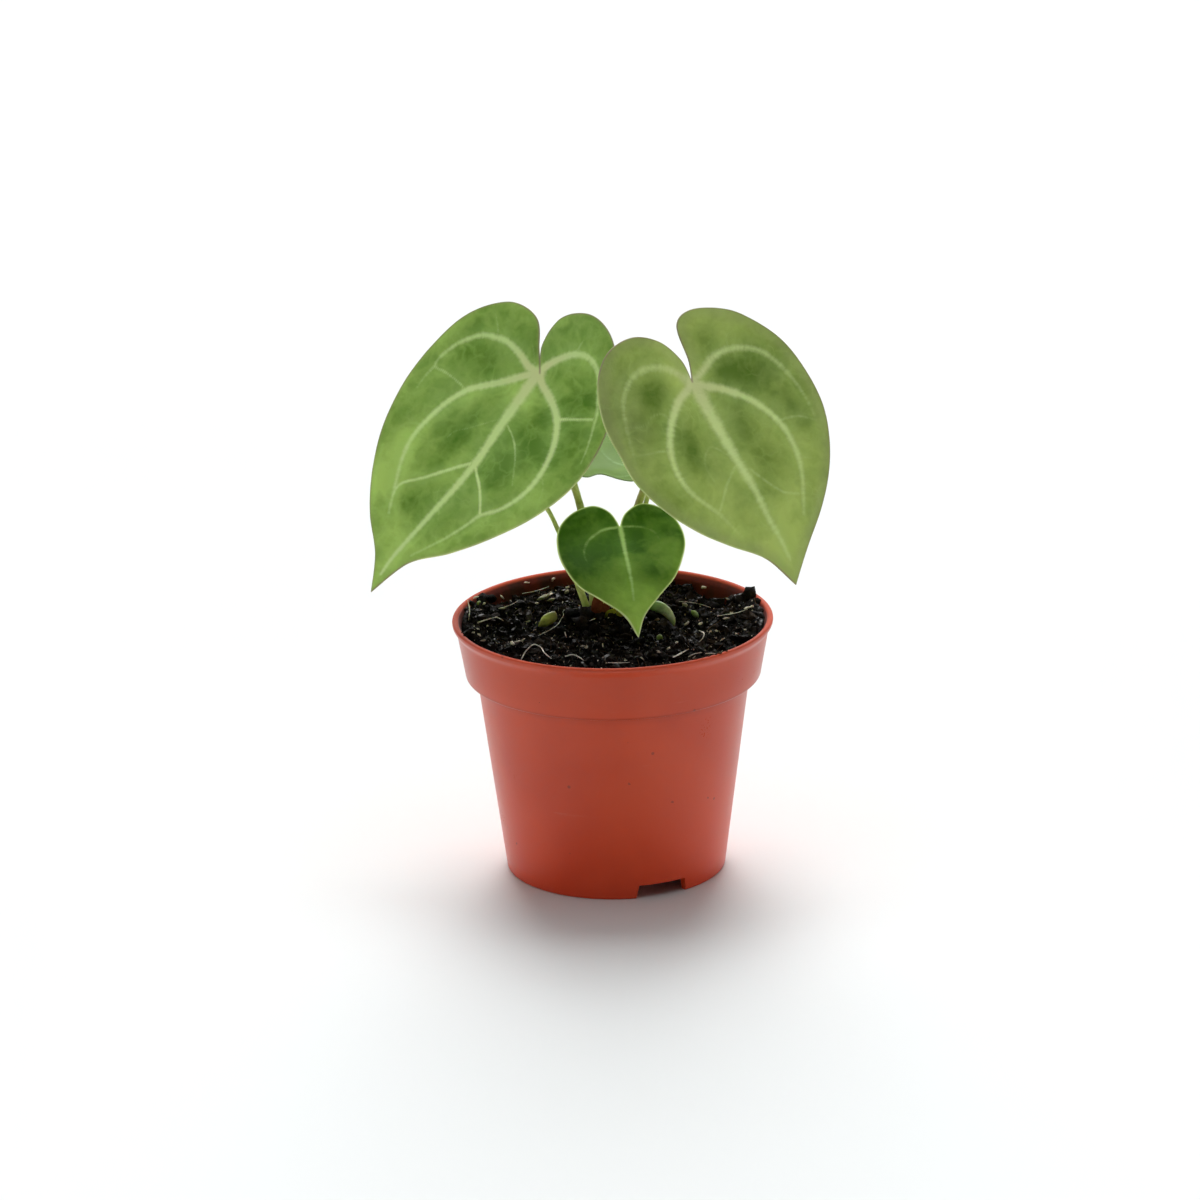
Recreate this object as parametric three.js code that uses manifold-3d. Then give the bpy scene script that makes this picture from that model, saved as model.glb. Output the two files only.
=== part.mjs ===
// A young potted Anthurium clarinervium: a plastic nursery pot filled with peat, a crown with its
// roots, five leaf stalks, five heart-shaped blades, a small shoot and a bud.
// Millimetres, +Z up, the front towards -Y. The origin lies on the surface that the pot stands on,
// under the middle of the plant's outline.
import * as THREE from 'three';
import { mergeVertices } from 'three/addons/utils/BufferGeometryUtils.js';
import Module from 'manifold-3d';

const wasm = await Module();
wasm.setup();

// Clearance and placing
const GAP = 0.3;
const HOLE_SPARE = 0.36;
const ROOT_HOLE_SPARE = 0.5;
const POT_AXIS_X = 2.06;
const POT_AXIS_Y = -4.44;

// Pot
const POT_HEIGHT = 48.7;
const POT_SIDES = 60;
const WALL = 0.75;
const RIM_RADIUS = 30;
const RIM_BEAD_HEIGHT = 0.95;
const RIM_BEAD_WIDTH = 1.15;
const COLLAR_TOP_RADIUS = 29.3;
const COLLAR_FOOT_RADIUS = 27.45;
const COLLAR_HEIGHT = 10.8;
const BODY_TOP_RADIUS = 25.6;
const BODY_FOOT_RADIUS = 20.6;
const COLLAR_FOOT = POT_HEIGHT - COLLAR_HEIGHT;
const LEDGE_HEIGHT = COLLAR_FOOT + WALL + 0.15;
const FOOT_RADIUS = 20.1;
const FOOT_ROUND = 0.8;
const FLOOR_UNDERSIDE = 2.7;
const FLOOR_THICKNESS = 0.8;
const NOTCH_HEIGHT = 2.7;
const NOTCH_ANGLE = 30;
const NOTCH_LEAN = 2;
const NOTCH_AZIMUTHS = [24.6, 204.6];
const DRAIN_RADIUS = 2;
const DRAIN_CIRCLE = 12;
const DRAIN_COUNT = 4;

// Soil
const SOIL_LEVEL = 46.5;
const SOIL_FRONT_RISE = 0.018;
const SOIL_MOUND = 1.7;
const SOIL_MOUND_WIDTH = 8;
const SOIL_ROUGHNESS = 0.28;
const SOIL_SIDES = 48;
const SOIL_RINGS = 8;
const GRAIN_COUNT = 22;
const GRAIN_RADIUS = [0.65, 1.15];
const GRAIN_SEED = 11;

// Crown, bracts and roots, from the pot's axis
const CROWN_AT = [-2, 6.9];
const CROWN_RADIUS = 4.2;
const CROWN_TOP = 47.7;
const CROWN_DEPTH = 6;
const STALK_FOOT_DEPTH = 4;
const BRACTS = [
  { at: [-4.3, 4.1], lean: [-0.7, -0.5], height: 3.2, radius: 0.55 },
  { at: [0.4, 4], lean: [0.7, -0.7], height: 2.8, radius: 0.6 },
  { at: [-1.9, 10.4], lean: [0.3, 0.7], height: 3.4, radius: 0.5 },
];
const ROOT_RADIUS = 0.8;
const ROOT_REACH = 13;
const ROOT_FOOT = 14;
const ROOT_AZIMUTHS = [35, 128, 214, 305];

// Blades
const BLADE_THICKNESS = 0.7;
const RIB_RISE_ABOVE = 0.12;
const RIB_RISE_BELOW = 0.3;
const RIB_FADE = 0.85;
const ACROSS_FULL = [[0, 0.14, 0.5, 0.86], [0, 0.14, 0.86], [0, 0.25, 0.62, 1]];
const ACROSS_SMALL = [[0, 0.16, 0.5, 0.84], [0, 0.2, 0.6, 1]];

// A regular half outline and its arched rib, for a blade 25 mm long and 24 mm wide
const REGULAR_MARGIN = [[0, 0], [-2.9, 1.4], [-4.5, 4.7], [-3, 8.5], [0.3, 11.2], [4.7, 12],
  [9.3, 11.1], [13.6, 9], [17.1, 5.6], [20.5, 2.1], [25, 0]];
const REGULAR_RIB = [[0, 0], [0.8, 3.3], [3.2, 6], [8, 7.1], [13, 5.7], [18, 2.7], [25, 0]];

// Each blade lies in its own frame: the first number runs from the seat on the stalk towards the
// tip, the second across, to the right as the upper face is seen with the tip down.
// heading, droop and roll are in degrees. Heading turns from +X towards +Y.
const BLADES = [
  {
    name: 'left',
    seat: [-12.7, 6, 94.6],
    heading: -156.3,
    droop: 47.1,
    roll: -31,
    length: 51.3,
    halfWidth: 21.5,
    arch: 1.5,
    baseLift: 0.012,
    liftFrom: 8,
    fold: 0.05,
    wave: 0.5,
    waves: 1.6,
    wavePhase: 0.5,
    rows: 22,
    across: ACROSS_FULL,
    midrib: [[0, 0], [13, 0.4], [21, 1.1], [35, 0.5], [51.3, -0.5]],
    leftHalf: [
      [[0, 0], [2.1, -1.9], [5.5, -5.6], [10.3, -9.4], [18.8, -12.4], [24.6, -12.5], [30, -10.9],
        [36, -7.8], [43, -4], [51.3, -0.5]],
      [[0, 0], [-0.6, -2.5], [-1.2, -7.6], [0.1, -13.2], [4, -16.8], [10, -19], [17, -18.9],
        [25, -16.8], [34, -12], [42, -6.3], [51.3, -0.5]],
      [[0, 0], [-3.4, -2.8], [-7.7, -6.3], [-7.7, -12], [-4.1, -17], [1.2, -20.6], [7.7, -22.2],
        [14.4, -22], [21.1, -20.3], [27.7, -17.9], [34.5, -14.4], [40, -10.3], [45.1, -4.7],
        [51.3, -0.5]],
    ],
    rightHalf: [
      [[0, 0], [1.6, 3.4], [3.6, 7.4], [8, 11.6], [14.5, 13.9], [20.4, 13.2], [24.9, 11.6],
        [29.9, 8.9], [36.5, 4.6], [42.5, 1.2], [47, -0.05], [51.3, -0.5]],
      [[0, 0], [-4, 1], [-7.2, 4.6], [-7.6, 8.3], [-5.6, 12.1], [1.3, 16.2], [8.2, 18.4],
        [15.5, 18], [24, 14.9], [32, 9.8], [37.5, 5.4], [42.8, 1.6], [47, 0.1], [51.3, -0.5]],
      [[0, 0], [-4.5, -2.7], [-10.5, -1.6], [-14, 4.1], [-12.7, 10.5], [-6.4, 16.1], [-0.2, 19],
        [8.4, 21], [15, 20.7], [23.2, 18], [30.7, 13.6], [36.9, 8.5], [43.1, 2.2], [51.3, -0.5]],
    ],
  },
  {
    name: 'right',
    seat: [15.35, -2, 94.9],
    heading: -37.1,
    droop: 56.5,
    roll: 25,
    length: 42.1,
    halfWidth: 21,
    arch: 2,
    baseLift: 0.006,
    liftFrom: 6,
    fold: 0.05,
    wave: 0.5,
    waves: 1.4,
    wavePhase: 2,
    rows: 22,
    across: ACROSS_FULL,
    midrib: [[0, 0], [11.6, 0.5], [19, 0.4], [27.7, 0.2], [42.1, 0.1]],
    leftHalf: [
      [[0, 0], [0.8, -2.1], [4.3, -6.8], [8.3, -10], [12.7, -12], [17.6, -12], [22.4, -9.8],
        [28, -6.6], [35, -1.9], [39, -0.2], [42.1, 0.1]],
      [[0, 0], [-3.1, -2.5], [-5.3, -6], [-5.4, -9.7], [-3.6, -13.4], [-0.4, -15.7],
        [5.3, -17.8], [11.5, -18.3], [18, -16.6], [25, -11.8], [30.5, -6.9], [35.4, -2.4],
        [39, -0.45], [42.1, 0.1]],
      [[0, 0], [-4.4, -0.2], [-9.1, -2.8], [-11.9, -7.8], [-11.1, -13.9], [-6.7, -18.2],
        [-0.2, -20.1], [6.5, -20.3], [13.3, -20.5], [19.8, -18.1], [25.8, -13.7], [30.5, -8.8],
        [35.6, -3], [42.1, 0.1]],
    ],
    rightHalf: [
      [[0, 0], [1.2, 1.6], [4.1, 5.1], [6.9, 7.8], [10.6, 9.8], [14.1, 11], [18.6, 11.3],
        [23.4, 10.2], [28.4, 8], [35, 4.3], [42.1, 0.1]],
      [[0, 0], [-2.2, 4.2], [-2.8, 9], [-1, 13.3], [2.3, 16.1], [7.1, 17.7], [11.9, 18.3],
        [17.5, 17.6], [25, 13.8], [31.5, 8.8], [37, 4.2], [42.1, 0.1]],
      [[0, 0], [-3.8, 1.2], [-10.5, 1.8], [-12, 5.7], [-9.5, 12], [-5.5, 16.2], [0.3, 19.8],
        [6.7, 21.3], [13.5, 21.1], [20, 18.8], [26.5, 15.1], [31.8, 10.8], [36.9, 5.4],
        [42.1, 0.1]],
    ],
  },
  {
    name: 'front',
    seat: [1.64, 1, 65.96],
    heading: -81.1,
    droop: 36.4,
    roll: 0,
    length: 25.1,
    halfWidth: 12,
    arch: 1.2,
    baseLift: 0.012,
    liftFrom: 4,
    fold: 0.08,
    wave: 0.3,
    waves: 1.5,
    wavePhase: 1,
    rows: 16,
    across: ACROSS_SMALL,
    midrib: [[0, 0], [11.8, -0.1], [25.1, 0]],
    leftHalf: [
      [[0, 0], [0.9, -3.2], [3.4, -5.9], [8, -7.2], [13, -5.9], [18, -2.8], [25.1, 0]],
      [[0, 0], [-3.1, -1.5], [-4.5, -4.6], [-3, -8.7], [0.2, -11.6], [4.7, -12.4], [9.5, -11.9],
        [14, -9.9], [17.2, -6.1], [20.4, -2.2], [25.1, 0]],
    ],
    rightHalf: [
      [[0, 0], [0.7, 3.4], [3.1, 6], [8, 7], [13, 5.6], [18, 2.7], [25.1, 0]],
      [[0, 0], [-2.8, 1.4], [-4.4, 4.6], [-3, 8.3], [0.4, 10.8], [4.7, 11.5], [9.1, 10.3],
        [13.3, 8.2], [17, 5.2], [20.5, 2.1], [25.1, 0]],
    ],
  },
  {
    name: 'back',
    seat: [7.08, 13, 73.5],
    heading: 100,
    droop: -14,
    roll: -3,
    length: 27,
    halfWidth: 14,
    arch: 1,
    baseLift: 0,
    liftFrom: 0,
    fold: 0.04,
    wave: 0,
    waves: 1.3,
    wavePhase: 1,
    rows: 16,
    across: ACROSS_SMALL,
    midrib: [[0, 0], [13.5, 0.2], [27, 0]],
    leftHalf: [
      scaledHalf(REGULAR_RIB, 27, -13.5),
      scaledHalf(REGULAR_MARGIN, 27, -13.5),
    ],
    rightHalf: [
      scaledHalf(REGULAR_RIB, 27, 14.2),
      [[0, 0], [-2.2, 1.1], [-3.8, 3.4], [-2.8, 5.9], [-0.4, 9.1], [-1.1, 11.9], [1.2, 14.4],
        [5.5, 14.8], [10, 13], [14.5, 10], [18.8, 6.3], [22.6, 2.4], [27, 0]],
    ],
  },
  {
    name: 'hind_left',
    seat: [-15, 11, 75.6],
    heading: 146,
    droop: 14,
    roll: -6,
    length: 22,
    halfWidth: 11,
    arch: 1,
    baseLift: 0,
    liftFrom: 0,
    fold: 0.08,
    wave: 0.3,
    waves: 1.3,
    wavePhase: 1.2,
    rows: 16,
    across: ACROSS_SMALL,
    midrib: [[0, 0], [11, -0.2], [22, 0]],
    leftHalf: [
      scaledHalf(REGULAR_RIB, 22, -11),
      scaledHalf(REGULAR_MARGIN, 22, -11),
    ],
    rightHalf: [
      scaledHalf(REGULAR_RIB, 22, 10.6),
      scaledHalf(REGULAR_MARGIN, 22, 10.6),
    ],
  },
];

// Stalks, from the pot's axis: the foot in the crown, the points that the stalk passes on its way
// up, and its radius at the foot, half way and at the joint under the blade.
const STALKS = [
  {
    name: 'left',
    foot: [-3.4, 9],
    way: [[-3.95, 8.4, 59], [-5.65, 6.8, 68.1], [-9.2, 6, 81.6]],
    radii: [0.95, 0.74, 0.85],
  },
  {
    name: 'right',
    foot: [0.5, 6.4],
    way: [[2.5, 7.3, 59], [5.3, 7.2, 68.7], [10.2, 3.2, 83]],
    radii: [0.95, 0.74, 0.85],
  },
  {
    name: 'front',
    foot: [-2, 4.3],
    way: [[-1.4, 4.6, 54], [0.5, 4.1, 60]],
    radii: [0.8, 0.52, 0.62],
  },
  {
    name: 'back',
    foot: [-0.5, 9.1],
    way: [[3.6, 11.6, 57.6], [6.6, 13.2, 66.6]],
    radii: [0.8, 0.48, 0.6],
  },
  {
    name: 'hind_left',
    foot: [-4.6, 6.4],
    way: [[-6.3, 7.4, 52.6], [-10.7, 9, 64.8]],
    radii: [0.8, 0.46, 0.6],
  },
];
const JOINT_LENGTH = 3.4;
const JOINT_UPRIGHT = 0.5;
const SEAT_CLEARANCE = 0.62;
const STALK_SIDES = 8;
const STALK_STEPS = 18;

// Shoot and bud, from the pot's axis
const SHOOT_PATH = [[6.9, 5.2, 44.6], [7, 4.9, 47.4], [8.1, 4, 49.9], [9.65, 3.2, 49.6],
  [10.9, 2.4, 48.6], [11.45, 1.8, 47.7]];
const SHOOT_RADIUS = 0.85;
const BUD_AT = [-12.1, 0.9, 47.65];
const BUD_LENGTH = 4;
const BUD_RADIUS = 1.3;
const BUD_TURN = 25;
const BUD_TILT = 24;

// Materials
const potPlastic = new THREE.MeshStandardMaterial({ color: 0xa3432d, roughness: 0.45 });
const peat = new THREE.MeshStandardMaterial({ color: 0x1d140f, roughness: 0.95 });
const rootstock = new THREE.MeshStandardMaterial({ color: 0x9a8a62, roughness: 0.8 });
const stalkGreen = new THREE.MeshStandardMaterial({ color: 0x8f9a4f, roughness: 0.55 });
const bladeGreen = new THREE.MeshStandardMaterial({ color: 0x5c8a3c, roughness: 0.5 });
const youngGreen = new THREE.MeshStandardMaterial({ color: 0x9db35a, roughness: 0.5 });

function radians(degrees) {
  return THREE.MathUtils.degToRad(degrees);
}

function scaledHalf(points, length, width) {
  return points.map(([along, across]) => [along * length / 25, across * width / 12]);
}

// A closed geometry as a solid that can be joined and cut
function solidOf(geometry) {
  const bare = geometry.clone();
  bare.deleteAttribute('normal');
  bare.deleteAttribute('uv');
  const merged = mergeVertices(bare, 1e-4);
  const vertProperties = new Float32Array(merged.attributes.position.array);
  const triVerts = new Uint32Array(merged.index.array);
  return new wasm.Manifold(new wasm.Mesh({ numProp: 3, vertProperties, triVerts }));
}

function geometryOf(solid) {
  const mesh = solid.getMesh();
  const geometry = new THREE.BufferGeometry();
  const position = new THREE.BufferAttribute(new Float32Array(mesh.vertProperties), 3);
  geometry.setAttribute('position', position);
  geometry.setIndex(new THREE.BufferAttribute(new Uint32Array(mesh.triVerts), 1));
  return geometry;
}

function union(solids) {
  return solids.reduce((whole, solid) => whole.add(solid));
}

// A profile of radius and height turned round the pot's axis
function turned(profile, sides) {
  const points = profile.map(([radius, height]) => new THREE.Vector2(radius, height));
  const geometry = new THREE.LatheGeometry(points, sides);
  geometry.rotateX(Math.PI / 2);
  return geometry;
}

// A straight rod bent along a curve, with a radius that changes on the way
function bentRod(curve, radiusAt, steps, sides) {
  const geometry = new THREE.CylinderGeometry(1, 1, 1, sides, steps);
  const frames = curve.computeFrenetFrames(steps, false);
  const position = geometry.attributes.position;
  for (let i = 0; i < position.count; i += 1) {
    const along = 0.5 - position.getY(i);
    const step = Math.round(along * steps);
    const radius = radiusAt(along);
    const point = curve.getPointAt(along);
    point.addScaledVector(frames.normals[step], position.getX(i) * radius);
    point.addScaledVector(frames.binormals[step], position.getZ(i) * radius);
    position.setXYZ(i, point.x, point.y, point.z);
  }
  return geometry;
}

function smoothCurve(points) {
  return new THREE.CatmullRomCurve3(points.map((point) => new THREE.Vector3(...point)));
}

// Inner radius of the pot's wall at a height, in the tapered body and in the collar above it
function bodyInside(height) {
  const share = (height - FOOT_ROUND) / (COLLAR_FOOT - FOOT_ROUND);
  return THREE.MathUtils.lerp(BODY_FOOT_RADIUS, BODY_TOP_RADIUS, share) - WALL;
}

function collarInside(height) {
  const share = (height - COLLAR_FOOT) / COLLAR_HEIGHT;
  return THREE.MathUtils.lerp(COLLAR_FOOT_RADIUS, COLLAR_TOP_RADIUS, share) - WALL;
}

function makePot() {
  const floorTop = FLOOR_UNDERSIDE + FLOOR_THICKNESS;
  const beadFoot = POT_HEIGHT - RIM_BEAD_HEIGHT;
  const beadInner = RIM_RADIUS - RIM_BEAD_WIDTH;
  const shell = solidOf(turned([
    [0, FLOOR_UNDERSIDE],
    [FOOT_RADIUS - WALL, FLOOR_UNDERSIDE],
    [FOOT_RADIUS - WALL, 0],
    [FOOT_RADIUS, 0],
    [FOOT_RADIUS + 0.35, 0.25],
    [BODY_FOOT_RADIUS, FOOT_ROUND],
    [BODY_TOP_RADIUS, COLLAR_FOOT + 0.2],
    [COLLAR_FOOT_RADIUS - 0.55, COLLAR_FOOT],
    [COLLAR_FOOT_RADIUS - 0.1, COLLAR_FOOT + 0.3],
    [COLLAR_FOOT_RADIUS + 0.1, COLLAR_FOOT + 0.9],
    [COLLAR_TOP_RADIUS, beadFoot],
    [RIM_RADIUS - 0.2, beadFoot + 0.1],
    [RIM_RADIUS, beadFoot + 0.4],
    [RIM_RADIUS - 0.15, POT_HEIGHT - 0.15],
    [RIM_RADIUS - 0.5, POT_HEIGHT],
    [beadInner + 0.15, POT_HEIGHT],
    [beadInner, POT_HEIGHT - 0.3],
    [collarInside(beadFoot), beadFoot - 0.6],
    [collarInside(LEDGE_HEIGHT), LEDGE_HEIGHT + 0.3],
    [bodyInside(LEDGE_HEIGHT), LEDGE_HEIGHT],
    [bodyInside(floorTop), floorTop],
    [0, floorTop],
  ], POT_SIDES));
  const notches = NOTCH_AZIMUTHS.map((azimuth) => solidOf(notchWedge(azimuth)));
  const drains = [new THREE.Vector2(0, 0)];
  for (let k = 0; k < DRAIN_COUNT; k += 1) {
    const angle = radians(45 + (360 / DRAIN_COUNT) * k);
    drains.push(new THREE.Vector2(Math.cos(angle), Math.sin(angle)).multiplyScalar(DRAIN_CIRCLE));
  }
  const holes = drains.map((at) => {
    const hole = new THREE.CylinderGeometry(DRAIN_RADIUS, DRAIN_RADIUS, FLOOR_THICKNESS * 4, 16);
    hole.rotateX(Math.PI / 2);
    hole.translate(at.x, at.y, FLOOR_UNDERSIDE + FLOOR_THICKNESS / 2);
    return solidOf(hole);
  });
  return geometryOf([...notches, ...holes].reduce((pot, cut) => pot.subtract(cut), shell));
}

// The wedge that a foot notch leaves open, seen from the pot's middle towards its azimuth
function notchWedge(azimuth) {
  const reach = FOOT_RADIUS * 1.2;
  const inner = FOOT_RADIUS * 0.8;
  const half = radians(NOTCH_ANGLE / 2);
  const lean = radians(NOTCH_LEAN);
  const shape = new THREE.Shape();
  const foot = reach * Math.tan(half);
  const top = reach * Math.tan(half - lean);
  shape.moveTo(-foot, -1);
  shape.lineTo(foot, -1);
  shape.lineTo(top, NOTCH_HEIGHT);
  shape.lineTo(-top, NOTCH_HEIGHT);
  shape.closePath();
  const wedge = new THREE.ExtrudeGeometry(shape, { depth: reach - inner, bevelEnabled: false });
  const position = wedge.attributes.position;
  for (let i = 0; i < position.count; i += 1) {
    const radius = inner + position.getZ(i);
    const side = position.getX(i) * (radius / reach);
    position.setXYZ(i, side, -radius, position.getY(i));
  }
  wedge.rotateZ(radians(azimuth));
  return wedge;
}

// A repeatable draw between 0 and 1
function seededDraw(seed) {
  let state = seed;
  return () => {
    state = (state * 1664525 + 1013904223) % 4294967296;
    return state / 4294967296;
  };
}

function soilHeight(x, y) {
  const fromCrown = Math.hypot(x - CROWN_AT[0], y - CROWN_AT[1]) / SOIL_MOUND_WIDTH;
  const lumps = Math.sin(x * 0.83 + 1.3) * Math.cos(y * 0.71 - 0.4)
    + Math.sin(x * 0.37 - y * 0.52 + 2.1) * 0.9
    + Math.sin(x * 1.31 + y * 1.17) * 0.5;
  return SOIL_LEVEL - SOIL_FRONT_RISE * y
    + SOIL_MOUND * Math.exp(-fromCrown * fromCrown)
    + SOIL_ROUGHNESS * lumps;
}

function makeSoil(cuts) {
  const floor = FLOOR_UNDERSIDE + FLOOR_THICKNESS + GAP;
  const shoulder = LEDGE_HEIGHT + GAP + 0.35;
  const edge = collarInside(SOIL_LEVEL) - GAP - 0.15;
  const profile = [
    [0, floor],
    [bodyInside(floor) - GAP - 0.1, floor],
    [bodyInside(LEDGE_HEIGHT) - GAP - 0.1, shoulder - 0.25],
    [collarInside(shoulder) - GAP - 0.15, shoulder],
    [edge, SOIL_LEVEL],
  ];
  for (let ring = SOIL_RINGS - 1; ring >= 0; ring -= 1) {
    profile.push([edge * ring / SOIL_RINGS, SOIL_LEVEL]);
  }
  const plug = turned(profile, SOIL_SIDES);
  const position = plug.attributes.position;
  for (let i = 0; i < position.count; i += 1) {
    const x = position.getX(i);
    const y = position.getY(i);
    if (position.getZ(i) > SOIL_LEVEL - 0.01) {
      position.setZ(i, Math.hypot(x, y) < 0.01 ? soilHeight(0, 0) : soilHeight(x, y));
    }
  }
  const solid = union([solidOf(plug), ...soilGrains(edge)]);
  return geometryOf(cuts.reduce((rest, cut) => rest.subtract(cut), solid));
}

// Grains and crumbs that stand out of the soil, clear of the crown, the shoot and the bud
function soilGrains(edge) {
  const draw = seededDraw(GRAIN_SEED);
  const keepClear = [[...CROWN_AT, 8], [8.5, 4, 5], [BUD_AT[0], BUD_AT[1], 4.5]];
  const grains = [];
  while (grains.length < GRAIN_COUNT) {
    const angle = draw() * Math.PI * 2;
    const reach = Math.sqrt(draw()) * (edge - 2.5);
    const radius = THREE.MathUtils.lerp(GRAIN_RADIUS[0], GRAIN_RADIUS[1], draw());
    const x = Math.cos(angle) * reach;
    const y = Math.sin(angle) * reach;
    const free = keepClear.every(([cx, cy, clear]) => Math.hypot(x - cx, y - cy) > clear);
    if (free) {
      const grain = new THREE.IcosahedronGeometry(radius, 0);
      grain.rotateX(angle * 3);
      grain.translate(x, y, soilHeight(x, y) + radius * 0.15);
      grains.push(solidOf(grain));
    }
  }
  return grains;
}

// The blade's frame: its seat and the directions along, across and up from the upper face
function bladeFrame(blade) {
  const heading = radians(blade.heading);
  const droop = radians(blade.droop);
  const roll = radians(blade.roll);
  const along = new THREE.Vector3(
    Math.cos(heading) * Math.cos(droop),
    Math.sin(heading) * Math.cos(droop),
    -Math.sin(droop),
  );
  const level = new THREE.Vector3(Math.sin(heading), -Math.cos(heading), 0);
  const steep = new THREE.Vector3().crossVectors(level, along);
  const up = steep.multiplyScalar(Math.cos(roll)).addScaledVector(level, Math.sin(roll));
  const across = new THREE.Vector3().crossVectors(up, along);
  return { seat: new THREE.Vector3(...blade.seat), along, across, up };
}

// How far the blade's middle surface stands up from its frame's plane
function bladeHeight(blade, along, across) {
  const share = THREE.MathUtils.clamp(along / blade.length, 0, 1);
  const arch = blade.arch * Math.sin(Math.PI * share) ** 2;
  const lift = blade.baseLift * (Math.max(blade.liftFrom - along, 0) ** 2 - blade.liftFrom ** 2);
  const fold = blade.fold * (Math.hypot(across, 2) - 2);
  const phase = 2 * Math.PI * blade.waves * along / blade.length + blade.wavePhase;
  const sidePhase = across > 0 ? 0 : 2;
  const wave = blade.wave * (across / blade.halfWidth) ** 2 * Math.sin(phase + sidePhase);
  return arch + lift + fold + wave;
}

// One half of a blade as rows of flat points from the midrib out to the margin. Each point also
// says how much of a rib's rise it has.
function halfRows(blade, outlines) {
  const curves = [blade.midrib, ...outlines].map((points) => {
    const spline = new THREE.SplineCurve(points.map((point) => new THREE.Vector2(...point)));
    return spline.getSpacedPoints(blade.rows);
  });
  const rows = [];
  for (let i = 0; i <= blade.rows; i += 1) {
    const fade = Math.max(0, 1 - (i / (blade.rows * RIB_FADE)) ** 2);
    const row = [];
    blade.across.forEach((shares, strip) => {
      shares.forEach((share) => {
        const flat = curves[strip][i].clone().lerp(curves[strip + 1][i], share);
        row.push({ flat, rise: share === 0 ? fade : 0 });
      });
    });
    rows.push(row);
  }
  return rows;
}

// A blade as one closed body: both faces are split into triangles alike
function makeBlade(blade) {
  const frame = bladeFrame(blade);
  const leftRows = halfRows(blade, blade.leftHalf);
  const rightRows = halfRows(blade, blade.rightHalf);
  const rows = rightRows.map((right, i) => [...leftRows[i].slice(1).reverse(), ...right]);
  const lines = rows[0].length;
  const last = blade.rows;
  const corners = [];
  const upper = [];
  const lower = [];
  const corner = ({ flat, rise }, side) => {
    const ribRise = side > 0 ? RIB_RISE_ABOVE : RIB_RISE_BELOW;
    const offset = side * (BLADE_THICKNESS / 2 + ribRise * rise);
    const point = frame.seat.clone()
      .addScaledVector(frame.along, flat.x)
      .addScaledVector(frame.across, flat.y)
      .addScaledVector(frame.up, bladeHeight(blade, flat.x, flat.y) + offset);
    corners.push(point.x, point.y, point.z);
    return corners.length / 3 - 1;
  };
  rows.forEach((row, i) => {
    const closed = i === 0 || i === last;
    const middle = row[(lines - 1) / 2];
    const pair = closed ? [corner(middle, 1), corner(middle, -1)] : null;
    upper.push(row.map((cell) => (closed ? pair[0] : corner(cell, 1))));
    lower.push(row.map((cell) => (closed ? pair[1] : corner(cell, -1))));
  });
  const index = [];
  const triangle = (a, b, c) => {
    if (a !== b && b !== c && c !== a) {
      index.push(a, b, c);
    }
  };
  for (let i = 0; i < last; i += 1) {
    for (let j = 0; j < lines - 1; j += 1) {
      triangle(upper[i][j], upper[i + 1][j], upper[i + 1][j + 1]);
      triangle(upper[i][j], upper[i + 1][j + 1], upper[i][j + 1]);
      triangle(lower[i][j], lower[i + 1][j + 1], lower[i + 1][j]);
      triangle(lower[i][j], lower[i][j + 1], lower[i + 1][j + 1]);
    }
    triangle(upper[i][0], lower[i][0], lower[i + 1][0]);
    triangle(upper[i][0], lower[i + 1][0], upper[i + 1][0]);
    const edge = lines - 1;
    triangle(upper[i][edge], lower[i + 1][edge], lower[i][edge]);
    triangle(upper[i][edge], upper[i + 1][edge], lower[i + 1][edge]);
  }
  const geometry = new THREE.BufferGeometry();
  geometry.setAttribute('position', new THREE.Float32BufferAttribute(corners, 3));
  geometry.setIndex(index);
  return geometry;
}

// A stalk's curve, from its foot in the crown to just under its blade's seat
function stalkCurve(stalk, footHeight) {
  const frame = bladeFrame(BLADES.find(({ name }) => name === stalk.name));
  const seatDrop = BLADE_THICKNESS / 2 + RIB_RISE_BELOW + SEAT_CLEARANCE;
  const end = frame.seat.clone().addScaledVector(frame.up, -seatDrop);
  const rising = frame.up.clone().add(new THREE.Vector3(0, 0, JOINT_UPRIGHT)).normalize();
  const joint = end.clone().addScaledVector(rising, -JOINT_LENGTH);
  return smoothCurve([
    [...stalk.foot, footHeight],
    [...stalk.foot, CROWN_TOP - 0.5],
    ...stalk.way,
    joint.toArray(),
    end.toArray(),
  ]);
}

function stalkRadius(stalk, along) {
  const [foot, middle, joint] = stalk.radii;
  if (along < 0.5) {
    return THREE.MathUtils.lerp(foot, middle, along / 0.5);
  }
  return THREE.MathUtils.lerp(middle * 0.95, joint, THREE.MathUtils.smoothstep(along, 0.86, 0.95));
}

function makeStalk(stalk, spare = 0) {
  const footHeight = CROWN_TOP - STALK_FOOT_DEPTH + GAP - spare;
  const curve = stalkCurve(stalk, footHeight);
  return bentRod(curve, (along) => stalkRadius(stalk, along) + spare, STALK_STEPS, STALK_SIDES);
}

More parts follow.
